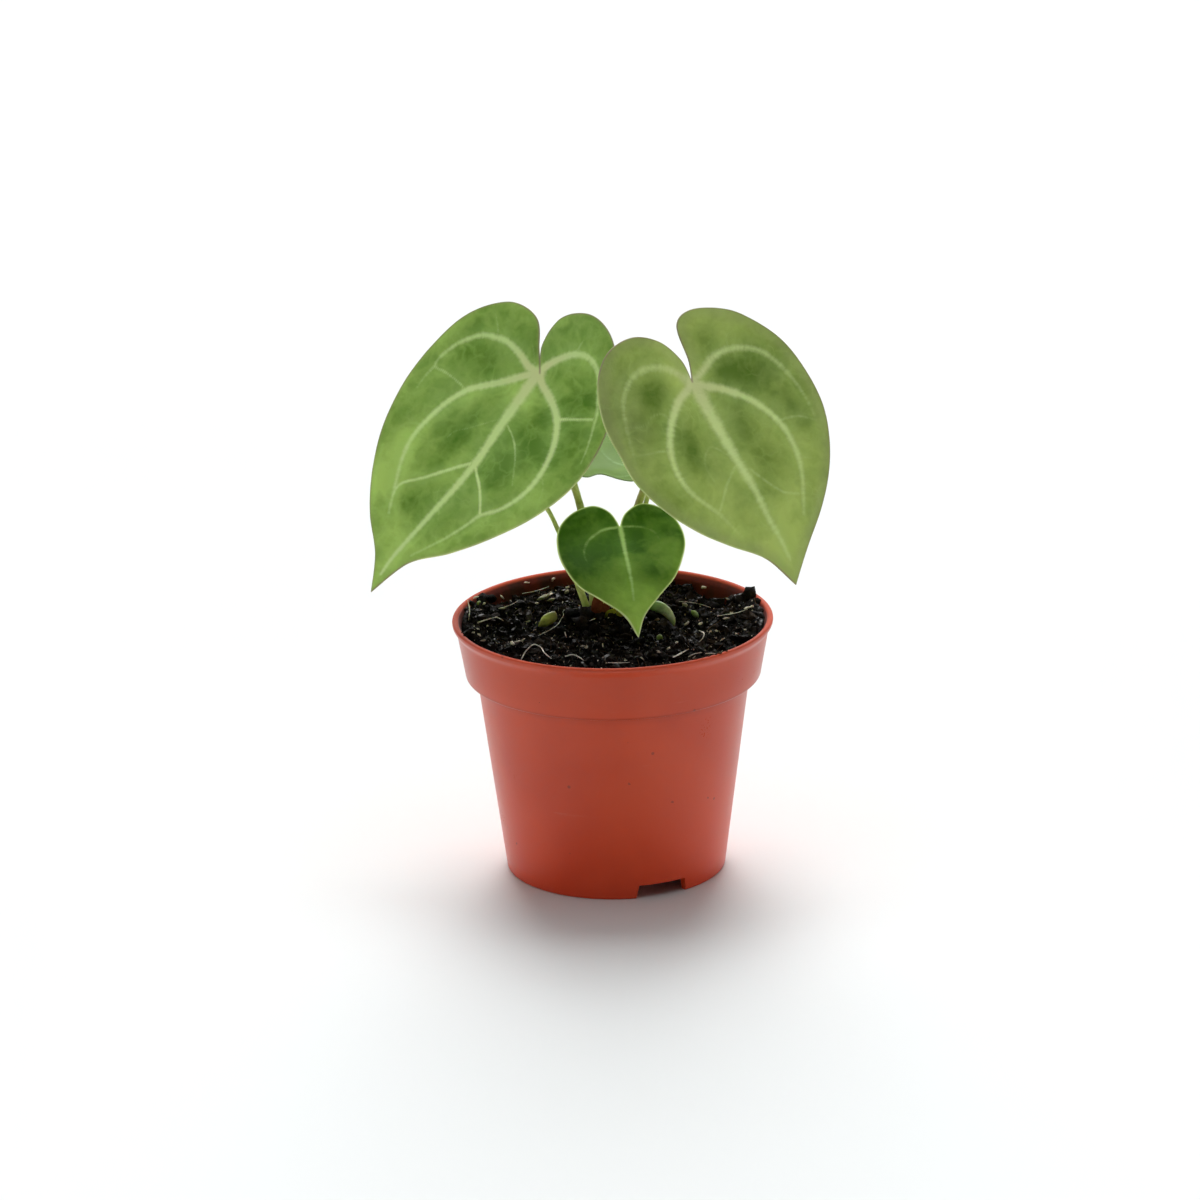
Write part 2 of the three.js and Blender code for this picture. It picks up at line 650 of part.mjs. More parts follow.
function makeRoot(azimuth, spare) {
  const angle = radians(azimuth);
  const reach = (share) => [
    CROWN_AT[0] * (1 - share) + Math.cos(angle) * (1.5 + ROOT_REACH * share),
    CROWN_AT[1] * (1 - share) + Math.sin(angle) * (1.5 + ROOT_REACH * share),
  ];
  const whole = smoothCurve([
    [...reach(0), CROWN_TOP - CROWN_DEPTH + 1.5],
    [...reach(0.45), CROWN_TOP - CROWN_DEPTH - 3],
    [...reach(0.8), CROWN_TOP - CROWN_DEPTH - 12],
    [...reach(1), ROOT_FOOT],
  ]);
  const points = whole.getSpacedPoints(40).slice(0, spare > 0 ? 41 : 40);
  const curve = new THREE.CatmullRomCurve3(points);
  return bentRod(curve, (along) => ROOT_RADIUS * (1 - 0.45 * along) + spare, 10, 6);
}

function makeBract(bract) {
  const [x, y] = bract.at;
  const [leanX, leanY] = bract.lean;
  const curve = smoothCurve([
    [x, y, CROWN_TOP - 1.5],
    [x + leanX * 0.2, y + leanY * 0.2, CROWN_TOP + bract.height * 0.4],
    [x + leanX, y + leanY, CROWN_TOP + bract.height],
  ]);
  return bentRod(curve, (along) => bract.radius * (1 - 0.7 * along ** 2), 5, 6);
}

// The crown with its bracts and roots. A spare width makes the hole that it stands in.
function crownSolid(spare) {
  const radius = CROWN_RADIUS + spare;
  const top = CROWN_TOP + (spare > 0 ? 6 : 0);
  const foot = CROWN_TOP - CROWN_DEPTH - spare;
  const stub = turned([
    [0, foot],
    [radius - 1.2, foot],
    [radius, foot + 1.6],
    [radius, top],
    [0, top],
  ], 20);
  stub.translate(CROWN_AT[0], CROWN_AT[1], 0);
  const rootSpare = spare > 0 ? ROOT_HOLE_SPARE : 0;
  const roots = ROOT_AZIMUTHS.map((azimuth) => solidOf(makeRoot(azimuth, rootSpare)));
  const bracts = spare > 0 ? [] : BRACTS.map((bract) => solidOf(makeBract(bract)));
  return union([solidOf(stub), ...roots, ...bracts]);
}

function makeCrown() {
  const holes = STALKS.map((stalk) => solidOf(makeStalk(stalk, HOLE_SPARE)));
  return geometryOf(holes.reduce((rest, hole) => rest.subtract(hole), crownSolid(0)));
}

function makeShoot(spare = 0) {
  const [foot, ...rest] = SHOOT_PATH;
  const curve = smoothCurve([[foot[0], foot[1], foot[2] - spare], ...rest]);
  const radiusAt = (along) => SHOOT_RADIUS * Math.sqrt(Math.max(0.06, 1 - along ** 3)) + spare;
  return bentRod(curve, radiusAt, 10, 8);
}

function makeBud(spare = 0) {
  const half = BUD_LENGTH / 2 + spare;
  const radius = BUD_RADIUS + spare;
  const profile = [];
  for (let k = 0; k <= 6; k += 1) {
    const angle = Math.PI * k / 6;
    profile.push([radius * Math.sin(angle) * (1 + 0.15 * Math.cos(angle)), -half * Math.cos(angle)]);
  }
  profile[0][0] = 0;
  profile[6][0] = 0;
  const bud = turned(profile, 10);
  bud.rotateY(radians(90 - BUD_TILT));
  bud.rotateZ(radians(BUD_TURN));
  bud.translate(...BUD_AT);
  return bud;
}

// The scene graph
const plant = new THREE.Group();
plant.position.set(POT_AXIS_X, POT_AXIS_Y, 0);

function addPiece(name, geometry, material) {
  const mesh = new THREE.Mesh(geometry, material);
  mesh.name = name;
  plant.add(mesh);
}

const soilCuts = [
  crownSolid(HOLE_SPARE),
  ...STALKS.map((stalk) => solidOf(makeStalk(stalk, HOLE_SPARE))),
  solidOf(makeShoot(HOLE_SPARE)),
  solidOf(makeBud(HOLE_SPARE)),
];

addPiece('pot', makePot(), potPlastic);
addPiece('soil', makeSoil(soilCuts), peat);
addPiece('crown_and_roots', makeCrown(), rootstock);
STALKS.forEach((stalk) => addPiece(`stalk_${stalk.name}`, makeStalk(stalk), stalkGreen));
BLADES.forEach((blade) => addPiece(`blade_${blade.name}`, makeBlade(blade), bladeGreen));
addPiece('shoot', makeShoot(), youngGreen);
addPiece('bud', makeBud(), youngGreen);

const group = new THREE.Group();
group.add(plant);

export default group;
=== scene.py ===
import random
from math import ceil, cos, exp, hypot, pi, radians, sin, sqrt, tan

import bmesh
import bpy
import numpy as np
from mathutils import Matrix, Vector, noise
from mathutils.bvhtree import BVHTree


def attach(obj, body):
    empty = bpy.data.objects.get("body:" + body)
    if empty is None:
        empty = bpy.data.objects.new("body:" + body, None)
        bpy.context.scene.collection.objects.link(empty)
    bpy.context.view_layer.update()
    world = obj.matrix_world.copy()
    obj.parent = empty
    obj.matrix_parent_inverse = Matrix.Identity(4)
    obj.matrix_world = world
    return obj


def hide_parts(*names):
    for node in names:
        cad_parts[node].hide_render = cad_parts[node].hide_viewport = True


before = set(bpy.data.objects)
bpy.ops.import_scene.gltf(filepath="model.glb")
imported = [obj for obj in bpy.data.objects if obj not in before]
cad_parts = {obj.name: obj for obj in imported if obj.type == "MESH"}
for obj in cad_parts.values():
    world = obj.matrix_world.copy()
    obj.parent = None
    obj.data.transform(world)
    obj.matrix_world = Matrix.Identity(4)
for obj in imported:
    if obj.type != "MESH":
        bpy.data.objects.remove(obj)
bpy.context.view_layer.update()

# Lengths are in millimetres from the pot's axis until a mesh is made, which puts them in metres
# and moves them to where the axis stands in the shared frame. Colours are 0 to 255 on screen.
MM = 0.001
POT_AXIS = np.array([2.06, -4.44, 0.0])
BODY = "root"

# Camera: the viewing angle of the photograph
CAMERA_AT = (-0.2, -1300.0, 490.34)
CAMERA_YAW = -0.0922
CAMERA_PITCH = 18.631
CAMERA_ROLL = -0.953
CAMERA_LENS = 220.52
SENSOR = 36.0
# Brightness of the white surroundings: a tall light behind, low light at the sides and in
# front, and the ceiling
BACK_LIGHT = 5.6
SIDE_LIGHT = 5.8
FRONT_LIGHT = 1.25
TOP_LIGHT = 0.95
FLOOR_HALF_WIDTH = 6000.0

# Pot
POT_HEIGHT = 48.7
WALL = 0.75
RIM_RADIUS = 30.0
COLLAR_TOP_RADIUS = 29.3
COLLAR_FOOT_RADIUS = 27.45
COLLAR_FOOT = 37.9
LEDGE = 38.8
BODY_TOP_RADIUS = 25.6
BODY_FOOT_RADIUS = 20.6
FOOT_RADIUS = 20.1
FLOOR_UNDERSIDE = 2.7
FLOOR_TOP = 3.5
NOTCH_HEIGHT = 2.7
NOTCH_ANGLE = 30.0
NOTCH_LEAN = 2.0
NOTCH_AZIMUTHS = (24.6, 204.6)
DRAIN_RADIUS = 2.0
DRAIN_CIRCLE = 12.0
DRAIN_SIDES = 32
POT_SEGMENTS = 240
SHARP_EDGE = 38

# Soil
SOIL_LEVEL = 46.5
SOIL_FRONT_RISE = 0.018
SOIL_MOUND = 1.7
SOIL_MOUND_WIDTH = 8.0
SOIL_ROUGHNESS = 0.28
SOIL_EDGE = 28.25
BED_FOOT = FLOOR_TOP + 0.3
BED_RINGS, BED_SEGMENTS = 110, 260
SHEET_RINGS, SHEET_SEGMENTS = 60, 150
CROWN_AT = (-2.0, 6.9)
CROWN_TOP = 47.7
CROWN_DEPTH = 6.0
CROWN_RADIUS = 4.2
STALK_FOOT = 44.0
SEEN_LEVEL = 47.5
WALL_REACH = 28.1
RIM_INSIDE = 28.85

# Stalks and blades
SEAT_DROP = 1.27
JOINT_LENGTH = 3.4
JOINT_UPRIGHT = 0.5
BLADE_THICKNESS = 0.56
STOUT_VEIN = 0.6


def lerp(a, b, share):
    return a + (b - a) * share


def smoothstep(x, low, high):
    share = np.clip((x - low) / (high - low), 0.0, 1.0)
    return share * share * (3.0 - 2.0 * share)


def unit(v):
    return v / np.linalg.norm(v)


TOWARDS_EYE = unit(np.array([0.0, -1300.0, 440.0]))


# ---- curves and shapes ----


def spaced(fine, count):
    """count + 1 points at equal distances along a polyline."""
    fine = np.array(fine)
    run = np.concatenate([[0.0], np.cumsum(np.linalg.norm(np.diff(fine, axis=0), axis=1))])
    wanted = np.linspace(0.0, run[-1], count + 1)
    return np.stack([np.interp(wanted, run, column) for column in fine.T], axis=1)


def cubic(p1, p2, start, end, w):
    """The place at share w of a smooth piece from p1 to p2, with its slopes at both ends."""
    bend, turn = -3 * p1 + 3 * p2 - 2 * start - end, 2 * p1 - 2 * p2 + start + end
    return p1 + start * w + bend * w**2 + turn * w**3


def flat_spline(points, count):
    """Equally spaced points along a smooth flat curve through the given points."""
    p = np.array(points, float)
    last = len(p) - 1
    fine = []
    for t in np.linspace(0.0, last, 40 * last + 1):
        i = min(int(t), last - 1)
        start, end = (p[i + 1] - p[max(i - 1, 0)]) / 2, (p[min(i + 2, last)] - p[i]) / 2
        fine.append(cubic(p[i], p[i + 1], start, end, t - i))
    return spaced(fine, count)


def bent_spline(points, count):
    """Equally spaced points along a smooth curve in space that never overshoots its points."""
    p = np.array(points, float)
    p = np.vstack([2 * p[0] - p[1], p, 2 * p[-1] - p[-2]])
    fine = []
    for p0, p1, p2, p3 in zip(p, p[1:], p[2:], p[3:]):
        d0, d1, d2 = (sqrt(np.linalg.norm(b - a)) for a, b in ((p0, p1), (p1, p2), (p2, p3)))
        start = ((p1 - p0) / d0 - (p2 - p0) / (d0 + d1) + (p2 - p1) / d1) * d1
        end = ((p2 - p1) / d1 - (p3 - p1) / (d1 + d2) + (p3 - p2) / d2) * d1
        fine += [cubic(p1, p2, start, end, w) for w in np.linspace(0.0, 1.0, 30, endpoint=False)]
    return spaced(fine + [p[-2]], count)


def circle(sides):
    """The angles of points spread evenly round a circle."""
    return np.linspace(0.0, 2 * pi, sides, endpoint=False)


def ring_faces(rings, sides, start=0):
    """Faces between rings of points that follow each other."""
    faces = []
    for i in range(rings - 1):
        for j in range(sides):
            a, b = (start + i * sides + k % sides for k in (j, j + 1))
            faces.append((a, b, b + sides, a + sides))
    return faces


def end_fans(low, first, high, last, sides):
    """Faces that close a stack of rings: the point low under the ring that starts at first,
    the point high over the one that starts at last."""
    faces = []
    for j in range(sides):
        k = (j + 1) % sides
        faces += [(low, first + k, first + j), (high, last + j, last + k)]
    return faces


def turned_over(faces):
    return [(face[0], *face[:0:-1]) for face in faces]


def tube(path, radii, sides, flatness=1.0, flat_towards=(0.0, 0.0, 1.0)):
    """Points, faces and flat places of a closed tube round a path. flatness squeezes it along
    flat_towards."""
    path = np.array(path, float)
    tangents = np.gradient(path, axis=0)
    tangents /= np.linalg.norm(tangents, axis=1)[:, None]
    side = np.cross(tangents[0], flat_towards)
    if np.linalg.norm(side) < 1e-3:
        side = np.cross(tangents[0], (1.0, 0.0, 0.0))
    turns = circle(sides)[:, None]
    points = []
    for centre, tangent, radius in zip(path, tangents, radii):
        side = unit(side - tangent * np.dot(side, tangent))
        over = flatness * np.cross(tangent, side)
        points.extend(centre + radius * (np.cos(turns) * side + np.sin(turns) * over))
    rows, low = len(path) - 1, len(points)
    uv = [(t / (2 * pi), i / rows) for i in range(rows + 1) for t in circle(sides)]
    faces = ring_faces(rows + 1, sides) + end_fans(low, 0, low + 1, rows * sides, sides)
    points += [path[0] - tangents[0] * radii[0] * 0.2, path[-1] + tangents[-1] * radii[-1] * 0.6]
    return np.array(points), faces, np.array(uv + [(0.5, 0.0), (0.5, 1.0)])


def rounded_profile(corners, steps=5):
    """Each corner is a radius, a height and how far from it its rounding starts."""
    profile = []
    for i, (x, y, reach) in enumerate(corners):
        here = np.array([x, y], float)
        if reach <= 0:
            profile.append(here)
            continue
        start, end = (here + unit(np.array(corners[k][:2], float) - here) * reach
                      for k in (i - 1, i + 1))
        for t in np.linspace(0.0, 1.0, steps):
            profile.append((1 - t) ** 2 * start + 2 * t * (1 - t) * here + t * t * end)
    return profile


def between(profile, longest):
    """Adds points to a profile's long stretches, so that no face is very long."""
    result = [profile[0]]
    for here in profile[1:]:
        start = result[-1]
        parts = max(1, ceil(np.linalg.norm(here - start) / longest))
        result += [lerp(start, here, k / parts) for k in range(1, parts + 1)]
    return result


def lathe(profile, sides):
    """Points and faces of a profile turned round the axis. Its ends lie on the axis."""
    points = [(0.0, 0.0, profile[0][1])]
    for radius, height in profile[1:-1]:
        points += [(radius * cos(t), radius * sin(t), height) for t in circle(sides)]
    last_ring, last = 1 + (len(profile) - 3) * sides, len(points)
    points.append((0.0, 0.0, profile[-1][1]))
    faces = ring_faces(len(profile) - 2, sides, 1) + end_fans(0, 1, last, last_ring, sides)
    return np.array(points), faces


def joined(parts):
    """One list of points and faces out of several."""
    points, faces = [], []
    for some_points, some_faces, *_ in parts:
        start = len(points)
        points.extend(some_points)
        faces += [tuple(start + i for i in face) for face in some_faces]
    return np.array(points), faces


# ---- meshes ----


def mesh_object(name, points, faces, material=None, edges=()):
    mesh = bpy.data.meshes.new(name)
    places = (np.array(points, float) + POT_AXIS) * MM
    mesh.from_pydata(places.tolist(), list(edges), faces)
    mesh.validate()
    mesh.shade_smooth()
    obj = bpy.data.objects.new(name, mesh)
    bpy.context.scene.collection.objects.link(obj)
    if material is not None:
        mesh.materials.append(material)
    return obj


def point_values(obj, name, values):
    """Stores one number for each point of a mesh, for its material to read."""
    layer = obj.data.attributes.new(name, "FLOAT", "POINT")
    every = np.zeros(len(obj.data.vertices), np.float32) + np.array(values, np.float32)
    layer.data.foreach_set("value", every)


def corner_uv(obj, uv):
    """Gives each corner the flat place of its point."""
    corners = np.zeros(len(obj.data.loops), np.int32)
    obj.data.loops.foreach_get("vertex_index", corners)
    layer = obj.data.uv_layers.new(name="surface")
    layer.data.foreach_set("uv", np.array(uv, np.float32)[corners].ravel())


def outward(obj):
    work = bmesh.new()
    work.from_mesh(obj.data)
    bmesh.ops.recalc_face_normals(work, faces=work.faces)
    work.to_mesh(obj.data)
    work.free()


def finish_piece(obj, slot, *nodes):
    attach(obj, BODY)
    if nodes:
        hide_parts(*nodes)


def add_piece(name, shape, material, slot, *nodes, **fields):
    """A finished piece of points and faces, with each field's numbers stored on its points."""
    obj = mesh_object(name, shape[0], shape[1], material)
    outward(obj)
    for label, values in fields.items():
        point_values(obj, label, values)
    finish_piece(obj, slot, *nodes)
    return obj


def work_in(obj):
    """Turns the object with its modifiers into a plain mesh without them."""
    bpy.context.view_layer.update()
    graph = bpy.context.evaluated_depsgraph_get()
    mesh = bpy.data.meshes.new_from_object(obj.evaluated_get(graph))
    old = obj.data
    obj.modifiers.clear()
    obj.data = mesh
    bpy.data.meshes.remove(old)


# ---- node helpers ----


def srgb(*colour):
    """A colour given as 0 to 255 on screen, as the renderer's own numbers."""
    shares = (value / 255.0 for value in colour)
    return (*(s / 12.92 if s <= 0.04045 else ((s + 0.055) / 1.055) ** 2.4 for s in shares), 1.0)


class Tree:
    """A node tree with short ways to add to it."""

    def __init__(self, tree):
        self.tree = tree

    def put(self, socket, value):
        """Links a socket to a node or another socket, or gives it a fixed value."""
        if isinstance(value, bpy.types.Node):
            value = value.outputs[0]
        if isinstance(value, bpy.types.NodeSocket):
            self.tree.links.new(value, socket)
        elif socket.type == "RGBA" and len(value) == 3:
            socket.default_value = srgb(*value)
        else:
            socket.default_value = value

    def node(self, kind, inputs=(), **settings):
        made = self.tree.nodes.new(kind)
        for name, value in settings.items():
            setattr(made, name, value)
        for key, value in dict(inputs).items():
            self.put(made.inputs[key], value)
        return made

    def maths(self, operation, a, b=0.0, clamp=False):
        return self.node("ShaderNodeMath", {0: a, 1: b}, operation=operation, use_clamp=clamp)

    def times(self, a, *more):
        for b in more:
            a = self.maths("MULTIPLY", a, b)
        return a

    def plus(self, a, *more, clamp=False):
        for i, b in enumerate(more, 1):
            a = self.maths("ADD", a, b, clamp and i == len(more))
        return a

    def minus(self, a, b):
        return self.maths("SUBTRACT", a, b)

    def blend(self, share, a, b):
        inputs = {"Factor": share, 6: a, 7: b}
        return self.node("ShaderNodeMix", inputs, data_type="RGBA").outputs[2]

    def layered(self, base, *layers):
        """Lays colours over each other, each given with its share."""
        for share, colour in layers:
            base = self.blend(share, base, colour)
        return base

    def ramp(self, value, low, high, start=0.0, end=1.0):
        return self.node("ShaderNodeMapRange", {
            "Value": value, "From Min": low, "From Max": high, "To Min": start, "To Max": end,
        }, interpolation_type="SMOOTHSTEP")

    def grain(self, where, scale, detail=3.0, roughness=0.5, distortion=0.0):
        return self.node("ShaderNodeTexNoise", {
            "Vector": where, "Scale": scale, "Detail": detail, "Roughness": roughness,
            "Distortion": distortion,
        }).outputs["Fac"]

    def vector(self, operation, a, b):
        return self.node("ShaderNodeVectorMath", {0: a, 1: b}, operation=operation)

    def stretched(self, where, scale):
        return self.node("ShaderNodeMapping", {"Vector": where, "Scale": scale})

    def bumped(self, height, strength, distance, below=None):
        inputs = {"Height": height, "Strength": strength, "Distance": distance}
        if below is not None:
            inputs["Normal"] = below
        return self.node("ShaderNodeBump", inputs)

    def attribute(self, name):
        return self.node("ShaderNodeAttribute", attribute_name=name).outputs["Fac"]

    def coordinates(self, kind):
        return self.node("ShaderNodeTexCoord").outputs[kind]

    def split(self, vector):
        return self.node("ShaderNodeSeparateXYZ", {0: vector}).outputs


def node_group(name, kind, inputs, outputs):
    """A node group's tree, its entry's sockets and its exit. Inputs and outputs are named with
    the kind of their sockets."""
    group = bpy.data.node_groups.new(name, kind)
    for way, sockets in (("INPUT", inputs), ("OUTPUT", outputs)):
        for label, what in sockets.items():
            group.interface.new_socket(
                name=label, in_out=way, socket_type="NodeSocket" + what)
    tree = Tree(group)
    return tree, tree.node("NodeGroupInput").outputs, tree.node("NodeGroupOutput").inputs


def mottle_group():
    """Slow and fine unevenness of a natural or moulded surface."""
    tree, given, leave = node_group("surface_unevenness", "ShaderNodeTree", {
        "Vector": "Vector", "Patch Scale": "Float", "Fine Scale": "Float", "Fine Share": "Float",
    }, {"Patches": "Float", "Mixed": "Float"})
    share = given["Fine Share"]
    patches = tree.grain(given["Vector"], given["Patch Scale"], 2.0, 0.5, 0.4)
    fine = tree.grain(given["Vector"], given["Fine Scale"], 4.0, 0.6)
    mixed = tree.plus(tree.times(fine, share), tree.times(patches, tree.minus(1.0, share)))
    tree.put(leave["Patches"], patches)
    tree.put(leave["Mixed"], mixed)
    return tree.tree


UNEVENNESS = mottle_group()
GLOSS = "Specular IOR Level"


class Look(Tree):
    """A material while it is made."""

    def __init__(self, name):
        self.material = bpy.data.materials.new(name)
        self.material.use_nodes = True
        super().__init__(self.material.node_tree)
        self.tree.nodes.clear()
        self.shader = self.node("ShaderNodeBsdfPrincipled")
        self.node("ShaderNodeOutputMaterial", {0: self.shader})
        self.where = self.coordinates("Object")

    def mottled(self, patch_scale, fine_scale, fine_share):
        """Slow patches, and the same mixed with fine unevenness."""
        made = self.node("ShaderNodeGroup", node_tree=UNEVENNESS)
        for label, value in (("Vector", self.where), ("Patch Scale", patch_scale),
                             ("Fine Scale", fine_scale), ("Fine Share", fine_share)):
            self.put(made.inputs[label], value)
        return made.outputs["Patches"], made.outputs["Mixed"]

    def finished(self, base, rough, normal=None, more=()):
        inputs = {"Base Color": base, "Roughness": rough, **dict(more)}
        if normal is not None:
            inputs["Normal"] = normal
        for label, value in inputs.items():
            self.put(self.shader.inputs[label], value)
        return self.material


# ---- blade material ----

LEAF_FIELDS = ("vein", "halo", "gap", "run", "tone", "warm", "edge", "lit_edge")


def flesh(gloss, weight):
    """How light shines into a leaf or a stalk."""
    return {GLOSS: gloss, "Subsurface Weight": weight, "Subsurface Radius": (0.6, 1.0, 0.2),
            "Subsurface Scale": 0.0005}


def blade_material(name, colours, network=0.11, softness=0.5, areoles=0.075, gloss=0.12):
    """Velvety leaf: cells darker away from the veins, pale veins with feathered borders and a
    soft halo, a thin edge."""
    look = Look(name)
    flat = look.coordinates("UV")
    vein, halo, gap, run, tone, warm, edge, lit_edge = map(look.attribute, LEAF_FIELDS)
    mixed = look.mottled(160.0, 1000.0, 0.22)[1]
    # the net of small veins
    wander = look.node("ShaderNodeTexNoise", {"Vector": flat, "Scale": 12.0, "Detail": 4.0})
    spread = look.node("ShaderNodeVectorMath", {0: wander.outputs["Color"], "Scale": 0.16},
                       operation="SCALE")
    net = look.node("ShaderNodeTexVoronoi", {
        "Vector": look.vector("ADD", flat, spread), "Scale": 15.0,
    }, feature="DISTANCE_TO_EDGE").outputs["Distance"]
    lines = look.times(look.ramp(net, 0.0, 0.12, 1.0, 0.0),
                       look.ramp(look.grain(flat, 9.0, 2.0), 0.42, 0.66))
    # streaks that leave the large veins at right angles
    comb = look.node("ShaderNodeCombineXYZ", {0: look.times(run, 0.9), 1: look.times(gap, 0.3)})
    streaks = look.grain(comb, 1.0, 3.0, 0.6)
    centred = look.minus(streaks, 0.5)
    cell = look.plus(
        look.times(look.minus(mixed, 0.5), 1.05), tone,
        look.ramp(net, 0.02, 0.34, areoles, -areoles),
        look.times(centred, look.ramp(gap, 0.2, 3.2, 1.0, 0.0), 0.25), clamp=True)
    haze = look.ramp(look.grain(look.where, 75.0, 2.0), 0.45, 0.75)
    glow = look.times(halo, look.ramp(streaks, 0.3, 0.7, 0.26, 0.42))
    # the main veins, with a feathered border
    fuzz = look.minus(look.grain(look.where, 1500.0, 2.0, 0.6), 0.5)
    ragged = look.plus(look.times(centred, 0.5), look.times(fuzz, 0.3))
    core = look.plus(vein, look.times(ragged, look.ramp(vein, 0.02, 0.3)))
    core = look.ramp(core, 0.16 - 0.14 * softness, 0.7 + 0.3 * softness)
    seat = look.vector("DISTANCE", flat, (0.3, 0.5, 0.0)).outputs["Value"]
    beige = look.ramp(seat, 0.02, 0.17, 0.7, 0.0)
    base = look.layered(
        look.blend(cell, colours["deep"], colours["light"]),
        (look.times(haze, 0.3), colours["haze"]), (warm, colours["warm"]),
        (glow, colours["halo"]), (look.times(lines, network), colours["halo"]),
        (look.times(core, 0.95), look.blend(beige, colours["vein"], colours["seat"])),
        # the thin edge: brown, with a painted highlight along the lower side
        (edge, look.blend(lit_edge, colours["edge"], colours["pale_edge"])))
    velvet = look.bumped(look.grain(look.where, 5200.0, 2.0), 0.12, 0.00004)
    pucker = look.minus(mixed, look.times(lines, 0.2))
    return look.finished(base, look.ramp(mixed, 0.3, 0.7, 0.46, 0.6),
                         look.bumped(pucker, 0.35, 0.0003, velvet), flesh(gloss, 0.25))


# ---- blades ----


def scaled(points, length, width):
    return [(a * length / 25.0, b * width / 12.0) for a, b in points]


REGULAR_MARGIN = [
    (0, 0), (-2.9, 1.4), (-4.5, 4.7), (-3, 8.5), (0.3, 11.2), (4.7, 12), (9.3, 11.1),
    (13.6, 9), (17.1, 5.6), (20.5, 2.1), (25, 0),
]
REGULAR_RIB = [(0, 0), (0.8, 3.3), (3.2, 6), (8, 7.1), (13, 5.7), (18, 2.7), (25, 0)]

